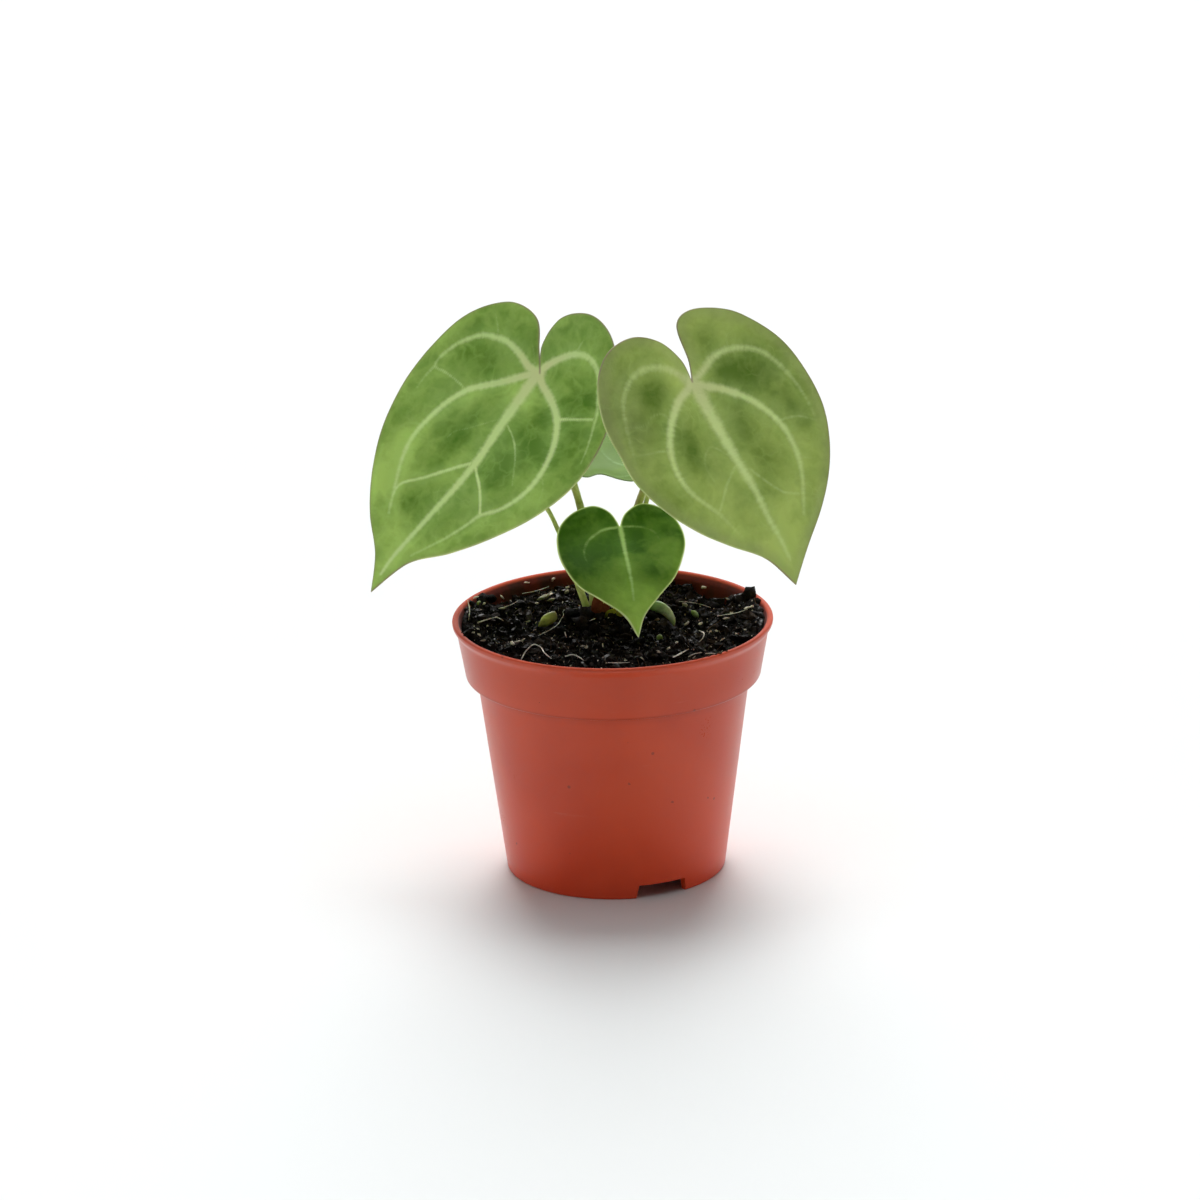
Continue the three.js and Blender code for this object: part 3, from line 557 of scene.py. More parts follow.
# Each blade lies in its own frame: the first number runs from the seat on the stalk towards the
# tip, the second across, to the right as the upper face is seen with the tip down.
# A vein is a path with its width at both ends and how strongly it shows at both ends.
LEFT_BLADE = dict(
    pale_side=1, pale_from=(6.0, 12.0),
    seat=(-12.7, 6.0, 94.6), heading=-156.3, droop=47.1, roll=-31.0, length=51.3,
    half_width=21.5, arch=1.5, base_lift=0.012, lift_from=8.0, fold=0.05, wave=0.5,
    waves=1.6, wave_phase=0.5,
    midrib=[(0, 0), (13, 0.4), (21, 1.1), (35, 0.5), (51.3, -0.5)],
    left=[
        [(0, 0), (2.1, -1.9), (5.5, -5.6), (10.3, -9.4), (18.8, -12.4), (24.6, -12.5),
         (30, -10.9), (36, -7.8), (43, -4), (51.3, -0.5)],
        [(0, 0), (-0.6, -2.5), (-1.2, -7.6), (0.1, -13.2), (4, -16.8), (10, -19), (17, -18.9),
         (25, -16.8), (34, -12), (42, -6.3), (51.3, -0.5)],
        [(0, 0), (-3.4, -2.8), (-7.7, -6.3), (-7.7, -12), (-4.1, -17), (1.2, -20.6),
         (7.7, -22.2), (14.4, -22), (21.1, -20.3), (27.7, -17.9), (34.5, -14.4), (40, -10.3),
         (45.1, -4.7), (51.3, -0.5)],
    ],
    right=[
        [(0, 0), (1.6, 3.4), (3.6, 7.4), (8, 11.6), (14.5, 13.9), (20.4, 13.2), (24.9, 11.6),
         (29.9, 8.9), (36.5, 4.6), (42.5, 1.2), (47, -0.05), (51.3, -0.5)],
        [(0, 0), (-4, 1), (-7.2, 4.6), (-7.6, 8.3), (-5.6, 12.1), (1.3, 16.2), (8.2, 18.4),
         (15.5, 18), (24, 14.9), (32, 9.8), (37.5, 5.4), (42.8, 1.6), (47, 0.1), (51.3, -0.5)],
        [(0, 0), (-4.5, -2.7), (-10.5, -1.6), (-14, 4.1), (-12.7, 10.5), (-6.4, 16.1),
         (-0.2, 19), (8.4, 21), (15, 20.7), (23.2, 18), (30.7, 13.6), (36.9, 8.5), (43.1, 2.2),
         (51.3, -0.5)],
    ],
    veins=[
        ([(0, 0), (2.2, -0.4), (6.7, -0.3), (12.6, 0.3), (19.3, 1.2), (21.2, 1.3), (26.9, 1.1),
          (34, 0.2), (38.9, -0.5), (43.9, -1.1), (47.5, -1.0)], 1.95, 0.6, 1.0, 0.75),
        ([(0, 0), (1.9, -2.2), (5.3, -5.3), (8.1, -8), (10.5, -10.1), (14.5, -11.7),
          (17.9, -12.3), (21.5, -12.6), (24.7, -12.4), (28.3, -11.4), (31.7, -9.9), (34.6, -8.6),
          (37.5, -7.2)], 1.3, 0.6, 1.0, 0.45),
        ([(0, 0), (0.3, -2.7), (-0.7, -5.8), (-1.1, -9.3), (-0.6, -11.5), (0.5, -14.3),
          (2.2, -16.1), (5, -18.1), (8.8, -19.2), (10.7, -18.9), (13, -19), (15.9, -18.7)],
         1.35, 0.5, 0.95, 0.25),
        ([(10.7, -18.8), (10.3, -15.6), (10.5, -10.6)], 0.45, 0.36, 0.6, 0.45),
        ([(-0.6, -11.5), (-2.2, -12.4), (-4, -14.4)], 0.42, 0.32, 0.45, 0.2),
        ([(-0.6, -1.7), (-3.6, -4.6), (-5.6, -8.0)], 0.6, 0.35, 0.25, 0.05),
        ([(21.2, 0.5), (24.8, -2.4), (28.3, -5.2), (32, -8.6), (34.6, -8.6)], 0.55, 0.44, 0.9, 0.7),
        ([(11.6, -1.1), (15.7, -4.2), (18.1, -6.3), (19.9, -6.7)], 0.36, 0.32, 0.3, 0.25),
        ([(0, 0), (1.4, 1.6), (2.6, 4.8), (4.8, 8.7), (8.6, 11.7), (12.4, 13.3), (16.7, 14),
          (20.8, 13.5), (24.8, 11.8), (27.8, 9.2), (30.7, 8.1), (34.5, 6.3), (38.4, 3.9),
          (41.5, 1.9)], 1.4, 0.5, 1.0, 0.35),
        ([(21, 1.5), (23.5, 5.1), (25.7, 7.4), (27.6, 8.9)], 0.52, 0.46, 0.85, 0.8),
        ([(11.4, 1.4), (12.8, 4.4), (15, 7), (18.2, 9.5), (19.8, 10.7)], 0.42, 0.34, 0.5, 0.3),
        ([(0, 0), (-1, 0.1), (-3.9, 1.9), (-6.6, 4.8), (-7.5, 8), (-6.4, 10.9), (-3.9, 13),
          (-0.2, 15.5), (1.4, 16.2), (5.6, 18.1), (9, 19.3)], 1.25, 0.45, 1.0, 0.3),
        ([(5, 9.1), (3.1, 12.4), (1.2, 15.5)], 0.46, 0.44, 0.8, 0.7),
        ([(-6.6, 4.8), (-9.3, 5.1), (-11.3, 6.6)], 0.5, 0.35, 0.35, 0.2),
        ([(26.9, 1.1), (30, -2.2), (34.5, -4.3)], 0.45, 0.3, 0.25, 0.1),
        ([(31, 0.8), (33.5, 2.6), (36, 3.8)], 0.45, 0.3, 0.25, 0.1),
        ([(15, 13.7), (17, 16.4), (20.5, 17.6)], 0.5, 0.3, 0.4, 0.1),
        ([(9, -8.6), (8.1, -12.4), (6.3, -14.2)], 0.4, 0.3, 0.2, 0.1),
        ([(20.5, -12.6), (23, -15.6), (27.5, -16.4)], 0.5, 0.3, 0.3, 0.08),
    ],
)
RIGHT_BLADE = dict(
    pale_side=-1, pale_from=(-9.0, -5.0),
    seat=(15.35, -2.0, 94.9), heading=-37.1, droop=56.5, roll=25.0, length=42.1,
    half_width=21.0, arch=2.0, base_lift=0.006, lift_from=6.0, fold=0.05, wave=0.5,
    waves=1.4, wave_phase=2.0,
    midrib=[(0, 0), (11.6, 0.5), (19, 0.4), (27.7, 0.2), (42.1, 0.1)],
    left=[
        [(0, 0), (0.8, -2.1), (4.3, -6.8), (8.3, -10), (12.7, -12), (17.6, -12), (22.4, -9.8),
         (28, -6.6), (35, -1.9), (39, -0.2), (42.1, 0.1)],
        [(0, 0), (-3.1, -2.5), (-5.3, -6), (-5.4, -9.7), (-3.6, -13.4), (-0.4, -15.7),
         (5.3, -17.8), (11.5, -18.3), (18, -16.6), (25, -11.8), (30.5, -6.9), (35.4, -2.4),
         (39, -0.45), (42.1, 0.1)],
        [(0, 0), (-4.4, -0.2), (-9.1, -2.8), (-11.9, -7.8), (-11.1, -13.9), (-6.7, -18.2),
         (-0.2, -20.1), (6.5, -20.3), (13.3, -20.5), (19.8, -18.1), (25.8, -13.7), (30.5, -8.8),
         (35.6, -3), (42.1, 0.1)],
    ],
    right=[
        [(0, 0), (1.2, 1.6), (4.1, 5.1), (6.9, 7.8), (10.6, 9.8), (14.1, 11), (18.6, 11.3),
         (23.4, 10.2), (28.4, 8), (35, 4.3), (42.1, 0.1)],
        [(0, 0), (-2.2, 4.2), (-2.8, 9), (-1, 13.3), (2.3, 16.1), (7.1, 17.7), (11.9, 18.3),
         (17.5, 17.6), (25, 13.8), (31.5, 8.8), (37, 4.2), (42.1, 0.1)],
        [(0, 0), (-3.8, 1.2), (-10.5, 1.8), (-12, 5.7), (-9.5, 12), (-5.5, 16.2), (0.3, 19.8),
         (6.7, 21.3), (13.5, 21.1), (20, 18.8), (26.5, 15.1), (31.8, 10.8), (36.9, 5.4),
         (42.1, 0.1)],
    ],
    veins=[
        ([(0, 0), (1.3, 0.2), (7.1, 0.1), (12.8, 0), (18, 0.1), (23.6, 0.5), (28.8, 0.6),
          (33.1, 1.1), (37.4, 1.2)], 2.3, 0.75, 1.0, 0.45),
        ([(0, 0), (1, -1.5), (2.3, -4.4), (5.7, -8.1), (9.7, -10.8), (13.9, -12.1),
          (17.9, -11.9), (21.4, -10.2), (24.4, -8.3), (27.6, -7), (29.8, -6)], 1.5, 0.65, 0.95,
         0.2),
        ([(0, 0), (-0.9, -1.1), (-3, -2.5), (-4.8, -4.8), (-5.7, -8), (-5.3, -11), (-3.8, -13.1),
          (-1.7, -14.9), (1.4, -16), (4.8, -17), (9.2, -18.4)], 1.5, 0.7, 0.6, 0.18),
        ([(0, 0), (1.5, 1.5), (3.6, 4.7), (7, 8.1), (10.7, 10.3), (14.6, 11.5), (18.1, 11.6),
          (21.7, 11.1), (25.3, 9.9), (28.7, 8.4), (31, 7.4)], 1.35, 0.7, 1.0, 0.35),
        ([(0, 0), (-0.9, 2.7), (-2.4, 5.7), (-2.6, 8.9), (-1.7, 11.9), (0.3, 14.9), (3.4, 16.8),
          (6.9, 18), (10.5, 18.5), (14, 18.4), (16.5, 18)], 1.4, 0.65, 0.75, 0.18),
        ([(17.8, -1.2), (20.2, -4.4), (23.7, -7.8)], 0.6, 0.5, 0.35, 0.4),
        ([(15.3, -1.1), (12.5, -3.4), (14.8, -6.2), (18.6, -6.3)], 0.5, 0.4, 0.25, 0.2),
        ([(19.4, 1.5), (22.7, 3.2), (25.7, 5.3), (27.3, 8)], 0.6, 0.5, 0.35, 0.35),
        ([(9.7, -10.8), (8.8, -14.8), (8.1, -17.7)], 0.55, 0.4, 0.35, 0.2),
        ([(4.3, -7.5), (2.7, -9.7), (3.6, -12.9), (2.7, -16)], 0.5, 0.4, 0.3, 0.2),
        ([(13.4, 11.5), (14.2, 15), (16.1, 17.7)], 0.6, 0.45, 0.35, 0.25),
        ([(21.1, 11.3), (23.1, 14.5)], 0.5, 0.4, 0.3, 0.1),
        ([(-2.6, 9.3), (-4.9, 10), (-5.3, 12.8)], 0.5, 0.4, 0.3, 0.1),
        ([(10.5, 10.3), (9, 13.5), (6, 15)], 0.4, 0.3, 0.15, 0.1),
    ],
)
FRONT_BLADE = dict(
    seat=(1.64, 1.0, 65.96), heading=-81.1, droop=36.4, roll=0.0, length=25.1,
    half_width=12.0, arch=1.2, base_lift=0.012, lift_from=4.0, fold=0.08, wave=0.3,
    waves=1.5, wave_phase=1.0,
    midrib=[(0, 0), (11.8, -0.1), (25.1, 0)],
    left=[
        [(0, 0), (0.9, -3.2), (3.4, -5.9), (8, -7.2), (13, -5.9), (18, -2.8), (25.1, 0)],
        [(0, 0), (-3.1, -1.5), (-4.5, -4.6), (-3, -8.7), (0.2, -11.6), (4.7, -12.4),
         (9.5, -11.9), (14, -9.9), (17.1, -5.8), (20.5, -1.8), (25.1, 0)],
    ],
    right=[
        [(0, 0), (0.7, 3.4), (3.1, 6), (8, 7), (13, 5.6), (18, 2.7), (25.1, 0)],
        [(0, 0), (-2.8, 1.4), (-4.4, 4.6), (-3, 8.3), (0.4, 10.8), (4.7, 11.5), (9.1, 10.3),
         (13.3, 8.2), (16.9, 4.9), (20.6, 1.7), (25.1, 0)],
    ],
    veins=[
        ([(0, 0), (3, 0.1), (7, 0.1), (12.8, 0.2), (17.3, 0.1)], 0.8, 0.5, 0.85, 0.4),
        ([(0, 0), (0.9, -3.6), (3.1, -6.4), (6.1, -7.7), (9, -7.4)], 0.6, 0.45, 0.6, 0.15),
        ([(0, 0), (0.1, 1.1), (0.9, 4.4), (2.4, 6.3), (5.5, 7)], 0.55, 0.4, 0.45, 0.1),
        ([(4, 0.1), (6, -2.6), (9.5, -4.6)], 0.35, 0.3, 0.15, 0.08),
        ([(6, 0.1), (8.5, 2.4), (12, 4)], 0.35, 0.3, 0.15, 0.06),
        ([(9, -0.1), (11.5, -2.4), (14.2, -3.4)], 0.35, 0.3, 0.12, 0.05),
    ],
)
SMALL_VEINS = [
    ([(0, 0), (6, 0.1), (13, 0.1), (22, 0)], 0.8, 0.4, 0.8, 0.3),
    ([(0, 0), (0.9, -3.6), (3.1, -6.4), (7, -7.5), (11, -6.6), (14, -4.8)], 0.6, 0.4, 0.6, 0.15),
    ([(0, 0), (0.9, 3.6), (3.1, 6.4), (7, 7.5), (11, 6.6), (14, 4.8)], 0.6, 0.4, 0.6, 0.15),
    ([(0, 0), (-1.8, -2.6), (-2.3, -5.6), (-0.4, -8.6), (3, -10)], 0.55, 0.35, 0.5, 0.15),
    ([(0, 0), (-1.8, 2.6), (-2.3, 5.6), (-0.4, 8.6), (3, 10)], 0.55, 0.35, 0.5, 0.15),
]
BACK_BLADE = dict(
    seat=(7.08, 13.0, 73.5), heading=100.0, droop=-14.0, roll=-3.0, length=27.0,
    half_width=14.0, arch=1.0, base_lift=0.0, lift_from=0.0, fold=0.04, wave=0.0,
    waves=1.3, wave_phase=1.0,
    midrib=[(0, 0), (13.5, 0.2), (27, 0)],
    left=[scaled(REGULAR_RIB, 27, -13.5), scaled(REGULAR_MARGIN, 27, -13.5)],
    right=[
        scaled(REGULAR_RIB, 27, 14.2),
        [(0, 0), (-2.2, 1.1), (-3.8, 3.4), (-2.8, 5.9), (-0.4, 9.1), (-1.1, 11.9), (1.2, 14.4),
         (5.5, 14.8), (10, 13), (14.5, 10), (18.8, 6.3), (22.6, 2.4), (27, 0)],
    ],
    veins=SMALL_VEINS,
)
HIND_BLADE = dict(
    seat=(-15.0, 11.0, 75.6), heading=146.0, droop=14.0, roll=-6.0, length=22.0,
    half_width=11.0, arch=1.0, base_lift=0.0, lift_from=0.0, fold=0.08, wave=0.3,
    waves=1.3, wave_phase=1.2,
    midrib=[(0, 0), (11, -0.2), (22, 0)],
    left=[scaled(REGULAR_RIB, 22, -11), scaled(REGULAR_MARGIN, 22, -11)],
    right=[scaled(REGULAR_RIB, 22, 10.6), scaled(REGULAR_MARGIN, 22, 10.6)],
    veins=SMALL_VEINS,
)


def blade_frame(blade):
    """Where the seat is, and the directions along, across and up from the blade."""
    heading, droop, roll = (radians(blade[k]) for k in ("heading", "droop", "roll"))
    along = np.array([cos(heading) * cos(droop), sin(heading) * cos(droop), -sin(droop)])
    level = np.array([sin(heading), -cos(heading), 0.0])
    up = np.cross(level, along) * cos(roll) + level * sin(roll)
    return np.array(blade["seat"]), along, np.cross(up, along), up


def in_space(blade, a, b, height):
    seat, along, across, up = blade_frame(blade)
    return seat + np.outer(a, along) + np.outer(b, across) + np.outer(height, up)


def blade_height(blade, a, b):
    """How far the blade's middle surface stands up from its frame's plane."""
    arch = blade["arch"] * np.sin(pi * np.clip(a / blade["length"], 0.0, 1.0)) ** 2
    start = blade["lift_from"]
    lift = blade["base_lift"] * (np.maximum(start - a, 0.0) ** 2 - start**2)
    fold = blade["fold"] * (np.hypot(b, 2.0) - 2.0)
    phase = 2 * pi * blade["waves"] * a / blade["length"] + blade["wave_phase"]
    phase = phase + np.where(b > 0, 0.0, 2.0)
    return arch + lift + fold + blade["wave"] * (b / blade["half_width"]) ** 2 * np.sin(phase)


def path_distance(points, path, *values):
    """Distance of each flat point to a path, and the values along it at the nearest place."""
    best = np.full(len(points), 1e9)
    found = [np.zeros(len(points)) for _ in values]
    for i in range(len(path) - 1):
        start, step = path[i], path[i + 1] - path[i]
        share = np.clip(((points - start) @ step) / max(step @ step, 1e-12), 0.0, 1.0)
        gap = np.linalg.norm(points - start - share[:, None] * step, axis=1)
        nearer = gap < best
        best[nearer] = gap[nearer]
        for value, kept in zip(values, found):
            kept[nearer] = lerp(value[i], value[i + 1], share[nearer])
    return best, found


def vein_fields(points, veins):
    """How strongly the veins show at each point, the pale halo round them, how far the nearest
    large vein is and how far along that vein the point lies."""
    core, halo, run = np.zeros((3, len(points)))
    nearest = np.full(len(points), 1e9)
    share = np.linspace(0.0, 1.0, 37)
    for k, (path, wide, narrow, strong, weak) in enumerate(veins):
        line = flat_spline(path, 36)
        length = np.linalg.norm(np.diff(line, axis=0), axis=1).sum()
        gap, (width, strength, place) = path_distance(
            points, line, lerp(wide, narrow, share**0.7), lerp(strong, weak, share**1.6),
            share * length)
        core = np.maximum(core, strength * np.exp(-((gap / (0.72 * width)) ** 2)))
        halo = np.maximum(halo, strength * np.exp(-((gap / (1.4 * width + 0.8)) ** 2)))
        if wide > STOUT_VEIN:
            closer = gap < nearest
            nearest[closer] = gap[closer]
            run[closer] = place[closer] + 20.0 * k
    return core, halo, nearest, run


def half_grid(blade, side, rows, counts):
    """Flat points of one half, as rows from the midrib out to the margin."""
    curves = [flat_spline(path, rows) for path in [blade["midrib"], *blade[side]]]
    columns = []
    for strip, count in enumerate(counts):
        last = strip == len(counts) - 1
        shares = np.arange(count + 1 if last else count) / count
        if last:
            shares = 1.0 - (1.0 - shares) ** 1.35
        columns += [lerp(curves[strip], curves[strip + 1], share) for share in shares]
    return np.stack(columns, axis=1)


def listed(grid):
    """A grid's points in a row. Its first and last line are one point each."""
    return np.vstack([grid[0, 0], grid[1:-1].reshape(-1, 2), grid[-1, 0]])


def numbered(grid, start):
    """The numbers of a grid's points in such a row that begins at start."""
    lines, columns = grid.shape[0] - 2, grid.shape[1]
    inner = start + 1 + np.arange(lines * columns).reshape(lines, columns)
    first, last = (np.full((1, columns), k) for k in (start, start + 1 + lines * columns))
    return np.vstack([first, inner, last])


def pale_margin(blade, a, b):
    """The margin is brown round the lobes; along the lower side it has a pale painted highlight."""
    side = b * blade.get("pale_side", 0)
    return smoothstep(side, 2.0, 5.0) * smoothstep(a, *blade.get("pale_from", (0, 1)))


def blade_face(blade, flat, border, tones, side):
    """Places and fields of the upper face (side 1) or the lower one (side -1)."""
    a, b = flat.T
    # only the stout veins stand out below
    veins = [v for v in blade["veins"] if side > 0 or v[1] > STOUT_VEIN] or blade["veins"]
    core, halo, nearest, run = vein_fields(flat, veins)
    inland, _ = path_distance(flat, border)
    half = BLADE_THICKNESS / 2 * (0.42 + 0.58 * smoothstep(inland, 0.0, 1.6))
    quilt = 0.2 * (smoothstep(nearest, 0.2, 2.6) - 0.5) * smoothstep(inland, 0.0, 2.5)
    ridge = 0.05 * core if side > 0 else -0.3 * core * smoothstep(inland, 0.1, 1.0)
    height = blade_height(blade, a, b) + quilt + side * half + ridge
    tone, warm, edge = tones(a, b, inland)
    edge = edge * np.exp(-((inland / 0.17) ** 2))
    fields = core, halo, nearest, run, tone, warm, edge, pale_margin(blade, a, b)
    return in_space(blade, a, b, height), np.array(fields)


def blade_edge(fine, start):
    """Flat points of the edge, which bulges a little between the faces, and their numbers."""
    flat, ids = [], {}
    for column, inner in ((0, 1), (-1, -2)):
        for i in range(1, len(fine) - 1):
            ids[i, column] = start + len(flat)
            here = fine[i, column]
            flat.append(here + unit(here - fine[i, inner]) * 0.1)
    return np.array(flat), ids


def edge_faces(top, under, ids, column):
    """Faces from the upper face to the edge and on to the lower face, on one side."""
    last, strip = len(top) - 1, []
    for i in range(last):
        ring = [top[i, column], ids.get((i, column)), ids.get((i + 1, column)),
                top[i + 1, column]]
        strip.append([int(k) for k in ring if k is not None])
    for i in range(len(under) - 1):
        near, far = int(under[i, column]), int(under[i + 1, column])
        first, middle, second = (ids.get((2 * i + k, column)) for k in range(3))
        if first is not None:
            strip.append([near, middle, first])
        strip.append([near, far, middle])
        if second is not None:
            strip.append([far, second, middle])
    # the two faces meet at the sinus and at the tip in one short edge
    strip.append([int(top[0, 0]), int(under[0, 0]), ids[1, column]])
    strip.append([int(top[-1, 0]), ids[last - 1, column], int(under[-1, 0])])
    return [tuple(ring[::-1] if column == 0 else ring) for ring in strip]


def blade_piece(name, blade, material, rows, counts, tones):
    """A blade as one closed shell. Its upper face is finer than its lower one, twice as many
    rows and columns, because its veins are drawn on its points. Its edge is rounded."""
    left, right = (half_grid(blade, side, 2 * rows, counts) for side in ("left", "right"))
    fine = np.concatenate([left[:, :0:-1], right], axis=1)
    coarse = fine[::2, ::2]
    border = np.vstack([fine[:, 0], fine[::-1, -1]])
    upper_flat, lower_flat = listed(fine), listed(coarse)
    upper, upper_fields = blade_face(blade, upper_flat, border, tones, 1.0)
    lower, lower_fields = blade_face(blade, lower_flat, border, tones, -1.0)
    edge_flat, ids = blade_edge(fine, len(upper) + len(lower))
    a, b = edge_flat.T
    height = blade_height(blade, a, b) - 0.08 * smoothstep(np.abs(b), 0.0, 1.0)
    tone, warm, _ = tones(a, b, np.zeros(len(a)))
    none = np.zeros(len(a))
    edge_fields = np.array([none, none, none + 5.0, none, tone, warm, none + 1.0,
                            pale_margin(blade, a, b)])
    top, under = numbered(fine, 0), numbered(coarse, len(upper))
    faces = []
    for grid, way in ((top, 1), (under, -1)):
        for i in range(grid.shape[0] - 1):
            for j in range(grid.shape[1] - 1):
                ring = [grid[i, j], grid[i + 1, j], grid[i + 1, j + 1], grid[i, j + 1]]
                faces.append(tuple(dict.fromkeys(int(k) for k in ring))[::way])
    faces += edge_faces(top, under, ids, 0) + edge_faces(top, under, ids, -1)
    points = np.vstack([upper, lower, in_space(blade, a, b, height)])
    fields = np.concatenate([upper_fields, lower_fields, edge_fields], axis=1)
    key = name.removeprefix("leaf_")
    obj = add_piece(name, (points, faces), material, "blade", "blade_" + key,
                    **dict(zip(LEAF_FIELDS, fields)))
    corner_uv(obj, np.vstack([upper_flat, lower_flat, edge_flat]) / 60.0 + (0.3, 0.5))


def spot(a, b, at, reach):
    """One within a flat-topped oval and nothing far outside it."""
    away = ((a - at[0]) / reach[0]) ** 2 + ((b - at[1]) / reach[1]) ** 2
    return np.exp(-(away**1.4))


def spots(a, b, start, places):
    """A value over the blade: a start and named places that are lighter or darker."""
    return start + sum(more * spot(a, b, at, reach) for at, reach, more in places)


def left_tones(a, b, inland):
    """Lighter at the outer left and the tip, darker in the cells beside the midrib."""
    tone = spots(a, b, 0.37, [
        ((31, -13), (8, 6), 0.36), ((41, -3), (5, 6), 0.49), ((7, 11), (8, 6), -0.26),
        ((15.3, 7), (7, 2.5), -0.42), ((3.3, -9), (5, 4), -0.14), ((-2.7, 11), (3, 6), -0.12),
        ((17.3, -5), (5, 2.5), -0.34), ((5.3, -1), (3, 4), 0.45), ((23.3, -1), (5, 2.5), 0.39),
        ((23.3, -13), (5, 2.5), 0.42), ((11.3, -9), (3, 2.5), 0.36),
        ((33.3, -5), (3, 2.5), -0.26), ((4, -20), (6, 3), 0.16), ((48, -1), (5, 3), 0.5),
        ((16, 2), (7, 4), -0.16), ((-4, -4), (4, 4), -0.15), ((8, 12), (7, 5), -0.15),
        ((22, 4), (7, 5), -0.22), ((28, 13), (4, 4), 0.2), ((36, -12), (5, 4), 0.25),
        ((37, 7), (5, 4), 0.2), ((-10, -10), (4, 5), 0.2), ((13, -14), (8, 4), -0.08),
        ((-9, -5), (4, 6), 0.2), ((24, 17), (9, 3), 0.3), ((33, -14), (6, 4), 0.25),
    ])
    return tone, 0.3 * smoothstep(inland, 0.9, 0.1), 0.8


def right_tones(a, b, inland):
    """Olive, with a greyish tinge on the margins and most of all on the left lobe."""
    tone = spots(a, b, 0.5, [
        ((35, 0.6), (8, 6), 0.46), ((3.1, 10.6), (5, 6), -0.6), ((3.1, -12.4), (6, 4), -0.2),
        ((11, -7.4), (5, 2.5), -0.37), ((-2.9, -1.4), (8, 4), 0.49),
        ((21, 12.6), (8, 2.5), 0.24), ((-0.9, -7.4), (3, 4), -0.29), ((-1, -19), (6, 4), -0.22),
        ((6, -6), (8, 6), -0.15), ((20, 2), (7, 5), -0.2), ((-6, 12), (5, 5), 0.2),
        ((-4, 20), (5, 4), 0.18), ((28, -7), (4, 4), 0.15), ((30, 11), (4, 4), 0.2),
        ((-2.9, 6.6), (5, 2.5), -0.34), ((-10.9, 4.6), (3, 6), 0.32),
        ((19, 0.6), (3, 2.5), 0.3), ((39, 0), (4, 3), 0.3), ((11, 16.6), (8, 2.5), -0.22),
        ((13, 4.6), (5, 2.5), -0.26), ((28, 6), (6, 4), 0.3), ((26, -8), (7, 4), 0.25),
        ((12, 14), (6, 3), -0.15),
    ])
    warm = 0.4 * smoothstep(inland, 3.0, 0.2) + 0.3 * spot(a, b, (-1, -17), (11, 5))
    return tone, np.clip(warm, 0, 0.6), 0.75


def front_tones(a, b, inland):
    """Dark at the lobes, lighter and yellower towards the tip."""
    tone = spots(a, b, 0.08, [
        ((21, -1.3), (8, 6), 0.75), ((5, -7.3), (3, 6), -0.20), ((11, 8.7), (8, 4), 0.31),
        ((15, -9.3), (5, 4), 0.33), ((19, 4.7), (5, 4), 0.28), ((9, 0.7), (3, 2.5), 0.18),
        ((17, 3), (5, 3), 0.15), ((4, 0), (4, 4), -0.15), ((14, -8), (5, 4), -0.12),
    ])
    return tone + 0.3 * smoothstep(a, 19.0, 25.0), 0.15 * smoothstep(inland, 0.6, 0.1), 1.0


def plain_tones(a, b, inland):
    tone = 0.5 + 0.15 * smoothstep(inland, 2.0, 0.0)
    return tone, 0.1 * smoothstep(inland, 0.6, 0.1), 0.7


LEFT_GREEN = dict(
    deep=(82, 124, 32), light=(180, 214, 108), haze=(150, 184, 100), warm=(164, 178, 104),
    halo=(174, 214, 116), vein=(208, 232, 154), seat=(216, 222, 160), edge=(150, 136, 110),
    pale_edge=(198, 208, 140),
)
RIGHT_GREEN = dict(
    deep=(92, 122, 40), light=(184, 206, 108), haze=(156, 178, 106), warm=(152, 160, 106),
    halo=(178, 208, 118), vein=(212, 232, 154), seat=(212, 218, 156), edge=(150, 132, 112),
    pale_edge=(196, 206, 140),
)
FRONT_GREEN = dict(
    deep=(50, 86, 8), light=(150, 184, 82), haze=(82, 118, 44), warm=(110, 144, 58),
    halo=(112, 150, 66), vein=(172, 202, 126), seat=(164, 190, 114), edge=(206, 218, 146),
    pale_edge=(206, 218, 146),
)
# The back leaf's green is paler and greyer: partly its own colour, partly painted sheen of its
# upper face seen at a glancing angle.
BACK_GREEN_AND_SHEEN = dict(
    deep=(94, 124, 54), light=(124, 152, 74), haze=(112, 142, 72), warm=(118, 138, 72),
    halo=(124, 156, 92), vein=(136, 166, 104), seat=(164, 192, 132), edge=(126, 146, 96),
    pale_edge=(126, 146, 96),
)


def make_blades():
    big, small = (40, 22, 30), (26, 26)
    left = blade_material("left_leaf_green", LEFT_GREEN)
    blade_piece("leaf_left", LEFT_BLADE, left, 150, big, left_tones)
    right = blade_material("right_leaf_green", RIGHT_GREEN, 0.08, 0.8, 0.055)
    blade_piece("leaf_right", RIGHT_BLADE, right, 140, big, right_tones)
    front = blade_material("front_leaf_green", FRONT_GREEN, 0.06, 0.5, 0.04, 0.03)
    blade_piece("leaf_front", FRONT_BLADE, front, 80, small, front_tones)
    # the back leaf and the hidden hind leaf share this green with painted sheen
    pale = blade_material("back_leaf_green", BACK_GREEN_AND_SHEEN, 0.1, 0.5, 0.04)
    for key, blade in (("back", BACK_BLADE), ("hind_left", HIND_BLADE)):
        blade_piece("leaf_" + key, blade, pale, 50, (16, 16), plain_tones)


# ---- stalks ----

